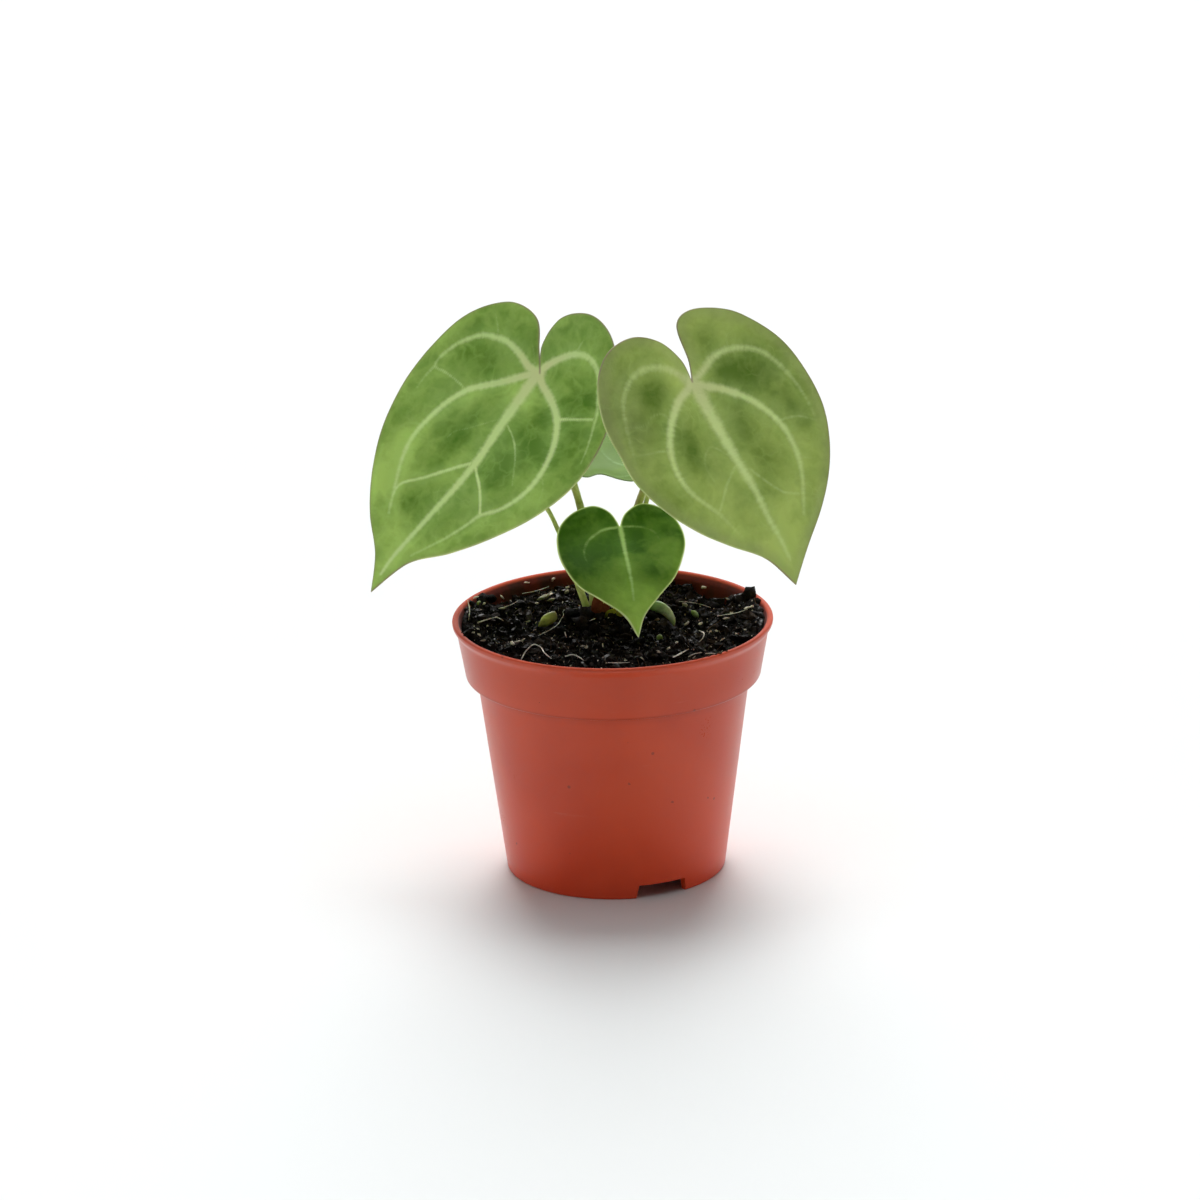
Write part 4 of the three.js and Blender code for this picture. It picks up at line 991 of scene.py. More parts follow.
STALKS = dict(
    left=dict(foot=(-3.4, 9.0), way=[(-3.95, 8.4, 59), (-5.65, 6.8, 68.1), (-9.2, 6, 81.6)],
              radii=(0.95, 0.74, 0.85), blade=LEFT_BLADE, brown=0.45),
    right=dict(foot=(0.5, 6.4), way=[(2.5, 7.3, 59), (5.3, 7.2, 68.7), (10.2, 3.2, 83)],
               radii=(0.95, 0.74, 0.85), blade=RIGHT_BLADE, brown=0.8),
    front=dict(foot=(-2.0, 4.3), way=[(-1.4, 4.6, 54), (0.5, 4.1, 60)],
               radii=(0.8, 0.52, 0.62), blade=FRONT_BLADE, brown=0.15),
    back=dict(foot=(-0.5, 9.1), way=[(3.6, 11.6, 57.6), (6.6, 13.2, 66.6)],
              radii=(0.8, 0.48, 0.6), blade=BACK_BLADE, brown=0.1),
    hind_left=dict(foot=(-4.6, 6.4), way=[(-6.3, 7.4, 52.6), (-10.7, 9, 64.8)],
                   radii=(0.8, 0.46, 0.6), blade=HIND_BLADE, brown=0.0),
)


def stalk_material(name, brown):
    look = Look(name)
    flat = look.coordinates("UV")
    around, along, _ = look.split(flat)
    mixed = look.mottled(220.0, 1800.0, 0.35)[1]
    # brownish on one side, whitish green at the foot
    side = look.ramp(look.maths("COSINE", look.times(around, 2 * pi)), -0.6, 0.9)
    streak = look.grain(look.stretched(flat, (30.0, 2.0, 1.0)), 1.0, 3.0, 0.6)
    tinge = look.times(look.ramp(streak, 0.3, 0.7, 0.5, 1.0), side, brown)
    base = look.layered(
        look.blend(look.ramp(mixed, 0.3, 0.7), (140, 156, 58), (200, 210, 118)),
        (tinge, (136, 108, 56)), (look.ramp(along, 0.05, 0.2, 0.75, 0.0), (156, 164, 118)))
    return look.finished(base, look.ramp(mixed, 0.3, 0.7, 0.36, 0.5),
                         look.bumped(streak, 0.4, 0.00012), flesh(0.4, 0.1))


def stalk_path(stalk, count):
    seat, _, _, up = blade_frame(stalk["blade"])
    end = seat - up * SEAT_DROP
    joint = end - unit(up + np.array([0.0, 0.0, JOINT_UPRIGHT])) * JOINT_LENGTH
    foot = stalk["foot"]
    points = [(*foot, STALK_FOOT), (*foot, CROWN_TOP - 0.5), *stalk["way"], joint, end]
    return bent_spline(points, count)


def stalk_radius(stalk, share):
    foot, middle, joint = stalk["radii"]
    if share < 0.5:
        return lerp(foot, middle, share / 0.5)
    return lerp(middle * 0.95, joint, float(smoothstep(share, 0.86, 0.95)))


def make_stalks():
    for key, stalk in STALKS.items():
        path = stalk_path(stalk, 90)
        radii = [stalk_radius(stalk, s) * (1 + 0.02 * sin(s * 61))
                 for s in np.linspace(0.0, 1.0, 91)]
        # the last bit narrows into the blade's underside
        seat, along, _, up = blade_frame(stalk["blade"])
        last = seat + along * 0.9 - up * 0.35
        path = np.vstack([path, lerp(path[-1], last, 0.5), last])
        radii += [radii[-1] * 0.9, radii[-1] * 0.6]
        shape = tube(path, radii, 24, flat_towards=(0, 1, 0))
        obj = add_piece("leafstalk_" + key, shape,
                        stalk_material(key + "_stalk_green", stalk["brown"]),
                        "stalk", "stalk_" + key)
        corner_uv(obj, shape[2])


# ---- pot ----


def body_inside(height):
    share = (height - 0.8) / (COLLAR_FOOT - 0.8)
    return lerp(BODY_FOOT_RADIUS, BODY_TOP_RADIUS, share) - WALL


def collar_inside(height):
    share = (height - COLLAR_FOOT) / (POT_HEIGHT - COLLAR_FOOT)
    return lerp(COLLAR_FOOT_RADIUS, COLLAR_TOP_RADIUS, share) - WALL


def pot_material():
    """Moulded terracotta-coloured plastic: fine matt grain, slow clouds, scuffs and soil dust, with
    painted shade under the collar and inside the wall, and painted light and shade by height.
    """
    look = Look("terracotta_plastic")
    where = look.where
    patches, mixed = look.mottled(45.0, 2600.0, 0.25)
    x, y, height = look.split(where)
    # painted shade: a darker band right under the collar
    under = look.times(
        look.ramp(height, (COLLAR_FOOT - 2.4) * MM, COLLAR_FOOT * MM),
        look.ramp(height, COLLAR_FOOT * MM, (COLLAR_FOOT + 0.8) * MM, 0.34, 0.0))
    # pale scuffs, mostly level, and specks of soil
    scuff = look.grain(look.stretched(where, (90.0, 90.0, 900.0)), 1.0, 4.0, 0.6)
    scuff = look.ramp(scuff, 0.66, 0.78)
    speck = look.node("ShaderNodeTexVoronoi", {"Vector": where, "Scale": 260.0})
    picked = look.maths("GREATER_THAN", look.grain(where, 170.0, 1.0), 0.6)
    dots = look.times(look.ramp(speck.outputs["Distance"], 0.06, 0.1, 1.0, 0.0), picked)
    # The inner wall and the top of the rim get painted shade, a darker red, mixed with peat stains.
    # Both faces of the collar lean alike, so this is a steady measure of the depth into the wall.
    level = look.node("ShaderNodeCombineXYZ", {0: x, 1: y})
    reach = look.vector("DISTANCE", level, tuple(POT_AXIS * MM)).outputs["Value"]
    lean = (COLLAR_TOP_RADIUS - COLLAR_FOOT_RADIUS) / (POT_HEIGHT - COLLAR_FOOT)
    depth = look.minus(reach, look.times(height, lean))
    outside = COLLAR_FOOT_RADIUS - lean * COLLAR_FOOT
    inner = look.times(look.ramp(depth, (outside - 0.3) * MM, (outside - 0.5) * MM),
                       look.ramp(height, 41.0 * MM, 42.0 * MM))
    stain = look.grain(look.stretched(where, (260.0, 260.0, 90.0)), 1.0, 4.0, 0.65)
    # a darker red as painted shade inside the wall, and dark brown peat stains
    shade_and_stain = look.blend(look.ramp(stain, 0.36, 0.66), (106, 27, 17), (50, 19, 13))
    base = look.layered(
        look.blend(look.ramp(patches, 0.3, 0.7), (190, 60, 22), (201, 70, 30)),
        # painted light and shade by height: a brighter red near the foot and a darker red on the
        # collar
        (look.ramp(height, 0.0, 0.03, 0.35, 0.0), (226, 62, 18)),
        (look.ramp(height, 0.03, 0.044, 0.0, 0.3), (160, 52, 20)),
        # painted shade under the collar
        (under, (112, 30, 12)),
        (look.times(scuff, 0.14), (205, 140, 120)),
        (look.times(dots, 0.6), (84, 36, 22)),
        (look.times(inner, 0.92), shade_and_stain))
    worn = look.maths("MAXIMUM", inner, look.ramp(height, 48.35 * MM, 48.6 * MM))
    rough = look.plus(look.ramp(mixed, 0.3, 0.7, 0.27, 0.36), look.times(scuff, 0.15),
                      look.times(worn, 0.5), clamp=True)
    fine = look.bumped(look.grain(where, 6500.0, 2.0), 0.12, 0.00003)
    return look.finished(base, rough, look.bumped(patches, 0.3, 0.0004, fine), {GLOSS: 0.42})


def notch_cutter(azimuth):
    """The wedge that a foot notch leaves open."""
    half, lean, turn = radians(NOTCH_ANGLE / 2), radians(NOTCH_LEAN), radians(azimuth)
    points = []
    for radius in (FOOT_RADIUS * 0.8, FOOT_RADIUS * 1.2):
        for side, height in ((-1, -1.0), (1, -1.0), (1, NOTCH_HEIGHT), (-1, NOTCH_HEIGHT)):
            x = side * radius * tan(half if height < 0 else half - lean)
            points.append((x * cos(turn) + radius * sin(turn),
                           x * sin(turn) - radius * cos(turn), height))
    return np.array(points), [
        (0, 1, 2, 3), (7, 6, 5, 4), (0, 4, 5, 1), (1, 5, 6, 2), (2, 6, 7, 3), (3, 7, 4, 0)]


def drain_cutter(x, y):
    """The round bar that a drain hole leaves open."""
    points = [(x + DRAIN_RADIUS * cos(t), y + DRAIN_RADIUS * sin(t), z)
              for z in (FLOOR_UNDERSIDE - 1, FLOOR_TOP + 1) for t in circle(DRAIN_SIDES)]
    low, high = range(DRAIN_SIDES), range(DRAIN_SIDES, 2 * DRAIN_SIDES)
    return np.array(points), ring_faces(2, DRAIN_SIDES) + [tuple(reversed(low)), tuple(high)]


def make_pot():
    bead_foot = POT_HEIGHT - 0.95
    profile = rounded_profile([
        (0, FLOOR_UNDERSIDE, 0),
        (FOOT_RADIUS - WALL, FLOOR_UNDERSIDE, 0.25),
        (FOOT_RADIUS - WALL, 0, 0.12),
        (FOOT_RADIUS + 0.42, 0, 0.42),
        (BODY_TOP_RADIUS, COLLAR_FOOT + 0.2, 0.12),
        (COLLAR_FOOT_RADIUS + 0.12, COLLAR_FOOT - 0.1, 0.45),
        (COLLAR_TOP_RADIUS - 0.1, bead_foot - 0.9, 0.4),
        (RIM_RADIUS, bead_foot + 0.2, 0.3),
        (RIM_RADIUS - 0.02, POT_HEIGHT, 0.4),
        (RIM_RADIUS - 0.95, POT_HEIGHT, 0.36),
        (collar_inside(POT_HEIGHT - 1.1), POT_HEIGHT - 1.1, 0.4),
        (collar_inside(LEDGE), LEDGE + 0.3, 0.3),
        (body_inside(LEDGE), LEDGE, 0.3),
        (body_inside(FLOOR_TOP), FLOOR_TOP, 0.3),
        (0, FLOOR_TOP, 0),
    ])
    pot = mesh_object("nursery_pot", *lathe(between(profile, 3.0), POT_SEGMENTS),
                      pot_material())
    outward(pot)
    # two notches in the foot, a drain hole in the middle and four round it
    shapes = [notch_cutter(azimuth) for azimuth in NOTCH_AZIMUTHS] + [drain_cutter(0.0, 0.0)]
    shapes += [drain_cutter(DRAIN_CIRCLE * cos(turn), DRAIN_CIRCLE * sin(turn))
               for turn in (radians(45 + 90 * k) for k in range(4))]
    cutters = []
    for k, shape in enumerate(shapes):
        cutter = mesh_object(f"cutter_{k}", *shape)
        outward(cutter)
        modifier = pot.modifiers.new(f"cut_{k}", "BOOLEAN")
        modifier.operation, modifier.solver = "DIFFERENCE", "EXACT"
        modifier.object = cutter
        cutters.append(cutter)
    work_in(pot)
    for cutter in cutters:
        bpy.data.objects.remove(cutter, do_unlink=True)
    pot.data.shade_smooth()
    pot.data.set_sharp_from_angle(angle=radians(SHARP_EDGE))
    finish_piece(pot, "pot_plastic", "pot")


# ---- soil ----

# Raised and sunken places of the soil: centre, reach and height
SOIL_HEAPS = [
    ((27.5, 5.0), (3.4, 8.0), 2.0),
    ((27.5, -6.0), (2.6, 6.0), 0.9),
    ((-25.8, 13.5), (3.2, 4.5), 1.9),
    ((-27.8, 3.0), (3.2, 9.0), 1.6),
    ((-21.0, 4.0), (5.5, 3.0), 0.6),
    ((14.5, 9.0), (4.5, 3.5), 0.5),
    ((10.0, -14.0), (6.0, 5.0), 0.5),
    ((-12.5, 15.5), (4.5, 3.0), 0.5),
    ((-6.0, -4.0), (5.0, 4.0), -1.1),
    ((4.0, -8.5), (5.0, 4.0), -1.2),
    ((20.0, 17.0), (5.0, 5.0), -1.0),
    ((-17.0, -9.0), (5.0, 3.5), 0.4),
    ((-19.0, 20.0), (4.0, 4.0), -0.8),
    ((17.0, -10.0), (4.0, 3.0), -0.6),
]


def off_crown(x, y, width):
    return (hypot(x - CROWN_AT[0], y - CROWN_AT[1]) / width) ** 2


def soil_height(x, y):
    lumps = (
        sin(x * 0.83 + 1.3) * cos(y * 0.71 - 0.4)
        + sin(x * 0.37 - y * 0.52 + 2.1) * 0.9
        + sin(x * 1.31 + y * 1.17) * 0.5
    )
    height = SOIL_LEVEL - SOIL_FRONT_RISE * y
    height += SOIL_MOUND * exp(-off_crown(x, y, SOIL_MOUND_WIDTH))
    height += SOIL_ROUGHNESS * lumps
    for at, reach, rise in SOIL_HEAPS:
        away = ((x - at[0]) / reach[0]) ** 2 + ((y - at[1]) / reach[1]) ** 2
        height += rise * exp(-away)
    away = 1.0 - exp(-off_crown(x, y, 6.5))
    clods = noise.fractal(Vector((x * 0.22, y * 0.22, 3.7)), 0.9, 2.1, 5)
    rough = noise.fractal(Vector((x * 0.9, y * 0.9, 9.2)), 0.8, 2.2, 4)
    return height + away * 0.95 * clods + 0.3 * rough


def peat_material(name, dark, brown, gloss=0.0):
    """Crumbly peat or bark: dull, with wet facets that shine where gloss is more than nothing."""
    look = Look(name)
    patches, mixed = look.mottled(420.0, 2600.0, 0.5)
    base = look.layered(
        look.blend(look.ramp(mixed, 0.42, 0.72), dark, brown),
        (look.ramp(look.attribute("shade"), 0.72, 1.0, 0.0, 0.75), brown))
    more = {GLOSS: 0.07}
    if gloss > 0:
        wet = look.grain(look.where, 900.0, 2.0, 0.5)
        more["Coat Weight"] = look.ramp(wet, 0.56, 0.66, 0.0, gloss)
        more["Coat Roughness"] = 0.22
    crumb = look.grain(look.where, 1500.0, 5.0, 0.7)
    return look.finished(base, look.ramp(patches, 0.35, 0.65, 0.6, 0.95),
                         look.bumped(crumb, 0.9, 0.0005), more)


def grain_material(name, pale, dull):
    look = Look(name)
    mixed = look.mottled(900.0, 4200.0, 0.5)[1]
    base = look.layered(look.blend(look.ramp(mixed, 0.3, 0.62), dull, pale),
                        (look.times(look.attribute("shade"), 0.75), dull))
    pits = look.grain(look.where, 3200.0, 4.0, 0.7)
    return look.finished(base, look.ramp(mixed, 0.3, 0.7, 0.6, 0.9),
                         look.bumped(pits, 0.6, 0.0002),
                         {"Subsurface Weight": 0.08, "Subsurface Scale": 0.0004})


def make_peat_bed(material):
    """The peat's surface in fine rings, and its hidden sides and bottom."""
    profile = [(SOIL_EDGE * i / BED_RINGS, 0.0) for i in range(BED_RINGS + 1)] + [
        (collar_inside(40.0) - 0.45, 39.6), (body_inside(38.8) - 0.4, 38.9),
        (body_inside(BED_FOOT) - 0.4, BED_FOOT), (10.0, BED_FOOT), (0.0, BED_FOOT)]
    points, faces = lathe(profile, BED_SEGMENTS)
    for k in range(1 + BED_RINGS * BED_SEGMENTS):
        points[k, 2] = soil_height(points[k, 0], points[k, 1])
        # the last rings sink towards the wall
        past = ceil(k / BED_SEGMENTS) - BED_RINGS + 6
        if past > 0:
            points[k, 2] -= 0.1 * past**1.4 * 0.3
    return add_piece("peat_bed", (points, turned_over(faces)), material, "peat", "soil",
                     shade=0.0)


def crumb_shape(name, seed, squash, fine=0):
    """An irregular crumb about 1 mm across."""
    work = bmesh.new()
    if fine:
        bmesh.ops.create_icosphere(work, subdivisions=fine, radius=0.5 * MM)
    else:
        bmesh.ops.create_cube(work, size=MM)
        bmesh.ops.subdivide_edges(work, edges=work.edges[:], cuts=1, use_grid_fill=True)
        for vert in work.verts:
            vert.co = vert.co * lerp(1.0, 0.5 * MM / vert.co.length, 0.6)
    for vert in work.verts:
        at = vert.co / MM
        push = noise.noise(at * 2.3 + Vector((seed * 7.1, seed * 3.3, 0.0)))
        push += 0.6 * noise.noise(at * 5.1 + Vector((0.0, seed * 5.7, seed)))
        vert.co = vert.co * (1.0 + 0.62 * push) * Vector(squash)
    mesh = bpy.data.meshes.new(name)
    work.to_mesh(mesh)
    work.free()
    return bpy.data.objects.new(name, mesh)


def crumb_shapes(name, seed, *squashes, fine=0):
    return [crumb_shape(f"{name}_{k}", k + seed, squash, fine)
            for k, squash in enumerate(squashes)]


def fibre_shape(name, seed, length, radius):
    """A short bent fibre."""
    draw = random.Random(seed)
    points = [(0.0, 0.0, 0.0)]
    heading, rise, step = draw.uniform(0, 6.28), draw.uniform(-0.2, 0.4), length / 5
    for _ in range(5):
        heading += draw.uniform(-0.9, 0.9)
        rise += draw.uniform(-0.5, 0.4)
        x, y, z = points[-1]
        points.append((x + step * cos(heading), y + step * sin(heading), z + step * rise))
    radii = radius * (1 - 0.6 * np.linspace(0, 1, 11) ** 2)
    tube_points, faces, _ = tube(bent_spline(points, 10), radii, 4)
    mesh = bpy.data.meshes.new(name)
    mesh.from_pydata(((tube_points - points[2]) * MM).tolist(), [], faces)
    return bpy.data.objects.new(name, mesh)


def stored(tree, name):
    node = tree.node("GeometryNodeInputNamedAttribute", {"Name": name}, data_type="FLOAT")
    return node.outputs["Attribute"]


def hand_on(tree, leave, geometry, material):
    """Makes instances real, gives them their material and passes them to the exit."""
    real = tree.node("GeometryNodeRealizeInstances", {0: geometry})
    tree.put(leave[0], tree.node("GeometryNodeSetMaterial", {
        "Geometry": real, "Material": material}))
    return tree.tree


def scatter_tree():
    """Strews shapes from a collection over a surface and hands on a shade for each."""
    tree, given, leave = node_group("strewn_over_ground", "GeometryNodeTree", dict(
        Ground="Geometry", Shapes="Collection", Spacing="Float", Density="Float",
        Smallest="Float", Largest="Float", Lift="Float", Seed="Int", Material="Material",
    ), dict(Strewn="Geometry"))
    spread = tree.node("GeometryNodeDistributePointsOnFaces", {
        "Mesh": given["Ground"], "Distance Min": given["Spacing"],
        "Density Max": given["Density"], "Density Factor": stored(tree, "room"),
        "Seed": given["Seed"],
    }, distribute_method="POISSON")
    shapes = tree.node("GeometryNodeCollectionInfo", {
        "Separate Children": True, "Reset Children": True, "Collection": given["Shapes"]})
    size = tree.node("FunctionNodeRandomValue", {
        2: given["Smallest"], 3: given["Largest"], "Seed": given["Seed"]}, data_type="FLOAT")
    turn = tree.node("FunctionNodeRandomValue", {
        0: (0.0, 0.0, 0.0), 1: (6.283, 6.283, 6.283), "Seed": given["Seed"],
    }, data_type="FLOAT_VECTOR")
    lift = tree.node("ShaderNodeCombineXYZ", {2: given["Lift"]})
    raised = tree.node("GeometryNodeSetPosition", {
        "Geometry": spread.outputs["Points"], "Offset": lift})
    place = tree.node("GeometryNodeInstanceOnPoints", {
        "Pick Instance": True, "Points": raised, "Instance": shapes, "Rotation": turn,
        "Scale": size.outputs[1]})
    shade = tree.node("FunctionNodeRandomValue", {"Seed": 5}, data_type="FLOAT")
    keep = tree.node("GeometryNodeStoreNamedAttribute", {
        "Name": "shade", "Geometry": place, "Value": shade.outputs[1],
    }, data_type="FLOAT", domain="INSTANCE")
    return hand_on(tree, leave, keep, given["Material"])


def thread_tree():
    """Makes a round strand along each line, as thick as its points say."""
    tree, given, leave = node_group("strand_along_line", "GeometryNodeTree", dict(
        Lines="Geometry", Thickness="Float", Sides="Int", Material="Material",
    ), dict(Strands="Geometry"))
    thick = tree.times(stored(tree, "width"), given["Thickness"])
    curve = tree.node("GeometryNodeMeshToCurve", {0: given["Lines"]})
    radius = tree.node("GeometryNodeSetCurveRadius", {"Curve": curve, "Radius": thick})
    ring = tree.node("GeometryNodeCurvePrimitiveCircle", {
        "Radius": 1.0, "Resolution": given["Sides"]})
    sweep = tree.node("GeometryNodeCurveToMesh", {
        "Fill Caps": True, "Curve": radius, "Profile Curve": ring})
    if "Scale" in sweep.inputs:
        tree.put(sweep.inputs["Scale"], thick)
    return hand_on(tree, leave, sweep, given["Material"])


def grow(obj, tree, material, **values):
    """Works a geometry node tree into an object's mesh, with its inputs given by name."""
    modifier = obj.modifiers.new("grow", "NODES")
    modifier.node_group = tree
    sockets = {item.name: item.identifier for item in tree.interface.items_tree
               if item.item_type == "SOCKET" and item.in_out == "INPUT"}
    for label, value in dict(values, Material=material).items():
        modifier[sockets[label]] = value
    work_in(obj)
    obj.data.materials.clear()
    obj.data.materials.append(material)


def strew(name, ground, tree, shapes, material, **values):
    """A piece of shapes strewn over the ground mesh."""
    collection = bpy.data.collections.new(name + "_shapes")
    for shape in shapes:
        collection.objects.link(shape)
    obj = bpy.data.objects.new(name, ground.data.copy())
    bpy.context.scene.collection.objects.link(obj)
    grow(obj, tree, material, Shapes=collection, **values)
    for shape in shapes:
        bpy.data.objects.remove(shape, do_unlink=True)
    bpy.data.collections.remove(collection)
    finish_piece(obj, "peat")
    return obj


def ground_for_strewing(keep_off):
    """The peat's surface as an open sheet with the room for crumbs at each point."""
    points = []
    for i in range(1, SHEET_RINGS + 1):
        radius = (SOIL_EDGE - 0.9) * i / SHEET_RINGS
        for t in circle(SHEET_SEGMENTS):
            x, y = radius * cos(t), radius * sin(t)
            points.append((x, y, soil_height(x, y)))
    room = [float(all(hypot(x - cx, y - cy) >= reach for cx, cy, reach in keep_off))
            for x, y, _ in points]
    ground = mesh_object("ground", points, turned_over(ring_faces(SHEET_RINGS, SHEET_SEGMENTS)))
    point_values(ground, "room", room)
    return ground


# White and grey grains that show in the peat: place, size
SEEN_GRAINS = [
    (-20.8, 15.9, 0.9), (-24.2, 12.2, 0.8), (-20.7, 9.4, 0.85), (-25.7, 16.2, 0.8),
    (-16.3, 24.4, 0.9), (-11.2, 25.9, 1.0), (-8.4, 21.2, 0.9), (-11.4, 18.1, 0.8),
    (-14.2, 11.7, 0.8), (-21.5, 3.9, 0.7), (-25.1, 1.2, 0.8), (-23.4, -0.8, 0.7),
    (-25.2, -2.4, 0.8), (-26.0, -4.5, 0.7), (-24.9, -5.9, 0.9), (-24.1, -9.1, 0.8),
    (-15.9, 1.4, 0.9), (-18.6, -11.2, 1.3), (-17.7, -10.4, 1.2), (-16.7, -9.0, 0.7),
    (-11.4, -8.5, 0.5), (-7.9, -7.7, 0.6), (-3.4, -10.4, 0.6), (-4.9, -13.9, 0.9),
    (-5.6, -13.2, 0.6), (13.8, -1.4, 1.0), (16.4, -1.5, 1.0), (17.3, 19.9, 1.0),
    (21.7, 12.8, 0.7), (21.3, 1.4, 0.8), (25.4, 7.4, 1.1), (26.2, 7.9, 0.9), (22.3, 4.6, 0.7),
    (18.3, -6.0, 0.8), (19.3, -5.8, 0.7), (20.3, -10.8, 0.7), (22.9, -7.6, 0.7),
    (24.6, -5.5, 0.8), (11.8, -11.8, 0.7), (10.3, -15.5, 1.0), (6.3, -13.5, 0.6),
    (1.5, -11.3, 0.6), (5.4, -21.0, 0.7), (2.3, -21.7, 0.6), (8.5, -17.3, 0.7),
    (8.0, 3.1, 0.8),
]

# Fine white roots that lie on the peat: where they run, their width, how high they stand
ROOT_THREADS = [
    ([(-17.0, -20.4), (-15.9, -16.4), (-14.5, -14.2), (-13.4, -15.2), (-12.6, -17.4),
      (-11.4, -19.9)], 0.3, (0.0, 0.6, 0.9, 0.7, 0.3, 0.0)),
    ([(-8.9, -18.8), (-7.5, -18.4), (-6.4, -19.7), (-5.4, -21.2)], 0.34, (0.0, 0.2, 0.2, 0.0)),
    ([(-27.2, 13.0), (-26.8, 8.4), (-27.0, 2.6)], 0.26, (0.6, 0.2, 0.0)),
    ([(-13.9, -6.7), (-11.6, -3.3), (-10.2, -0.2), (-9.7, 2.3), (-9.2, 4.9), (-9.2, 7.5),
      (-8.3, 8.4), (-6.6, 8.7)], 0.2, (0, 0, 0, 0, 0, 0, 0.1, 0)),
    ([(-4.4, 1.2), (-3.4, 2.2), (-2.2, 3.2)], 0.26, (0.0, 0.1, 0.1)),
    ([(-25.1, 1.5), (-23.3, 3.0), (-21.6, 3.9), (-20.4, 2.2)], 0.3, (0, 0.1, 0.1, 0)),
    ([(11.0, -20.2), (12.4, -18.4), (14.0, -16.0)], 0.4, (0.0, 0.1, 0.1)),
    ([(13.8, -20.2), (15.2, -18.6), (16.4, -17.8)], 0.28, (0.0, 0.1, 0.0)),
    ([(16.0, -5.1), (16.9, -7.6), (16.7, -10.0), (15.9, -11.8)], 0.26, (0, 0.3, 0.2, 0)),
    ([(17.0, -18.9), (18.6, -19.6), (19.3, -21.0)], 0.24, (0.2, 0.4, 0.3)),
    ([(19.6, 3.0), (23.0, 4.6), (25.4, 6.4)], 0.24, (0, 0, 0.1)),
    ([(-8.9, -5.6), (-8.6, -8.2)], 0.3, (0.3, 0.0)),
    ([(18.5, 8.0), (16.0, 10.5), (12.5, 12.0)], 0.18, (0, 0, 0)),
    ([(-17.0, 18.0), (-14.0, 19.5), (-12.0, 22.0)], 0.2, (0, 0.1, 0)),
    ([(-1.0, -22.6), (1.2, -22.9), (3.0, -22.6)], 0.26, (0, 0, 0)),
    ([(-20.9, 9.6), (-19.0, 11.4), (-17.6, 14.2)], 0.18, (0, 0.1, 0)),
    ([(-13.6, 15.0), (-12.2, 16.2), (-11.0, 17.8)], 0.5, (0.1, 0.2, 0.1)),
]


def make_threads(seen, material):
    """Fine white strands that lie on the peat."""
    points, edges, widths = [], [], []
    for flat, width, rises in ROOT_THREADS:
        path = bent_spline([(*at, rise) for at, rise in zip(flat, rises)], 8 * (len(flat) - 1))
        shares, start = np.linspace(0.0, 1.0, len(path)), len(points)
        points.extend(settled(path, seen, 0.45 * width))
        edges += [(start + i, start + i + 1) for i in range(len(path) - 1)]
        uneven = width * (0.75 + 0.35 * np.sin(shares * 9.0 + width * 40) * 0.3)
        widths.extend(uneven * (1.0 - 0.55 * shares**3))
    obj = mesh_object("root_threads", points, [], edges=edges)
    point_values(obj, "width", widths)
    grow(obj, thread_tree(), material, Thickness=MM * 0.5, Sides=8)
    obj.data.shade_smooth()
    outward(obj)
    point_values(obj, "shade", 0.0)
    finish_piece(obj, "rootstock")


def ground_seen(pieces):
    """A function that tells which point of the pieces shows where a place on the level
    SEEN_LEVEL would show in the picture. Past the peat it is a point on the pot's wall."""
    points, faces = joined([
        ([v.co / MM for v in piece.data.vertices], [p.vertices for p in piece.data.polygons])
        for piece in pieces])
    tree = BVHTree.FromPolygons(points.tolist(), faces)
    eye = Vector(CAMERA_AT) + Vector(POT_AXIS)

    def seen(x, y):
        aim = Vector((x, y, SEEN_LEVEL)) + Vector(POT_AXIS)
        towards_eye = (eye - aim).normalized()
        hit = tree.ray_cast(eye, -towards_eye)[0]
        if hit is not None:
            return np.array(hit) - POT_AXIS
        place = np.array(aim) - POT_AXIS
        while hypot(place[0], place[1]) > WALL_REACH:
            place = place + 0.1 * np.array(towards_eye)
        return place

    return seen


def settled(path, seen, clear):
    """A path laid on what carries it, smoothed so that it bridges the small gaps, and kept
    where it shows in the picture."""
    laid = np.array([seen(x, y) for x, y, _ in path])
    near = laid @ TOWARDS_EYE
    spread = np.array([near[max(0, i - 4): i + 5].max() for i in range(len(path))])
    kernel = np.hanning(9) / np.hanning(9).sum()
    smooth = np.convolve(np.pad(spread, 4, mode="edge"), kernel, mode="valid")
    places = laid + np.outer(smooth - near + clear, TOWARDS_EYE)
    places[:, 2] += path[:, 2]
    return places


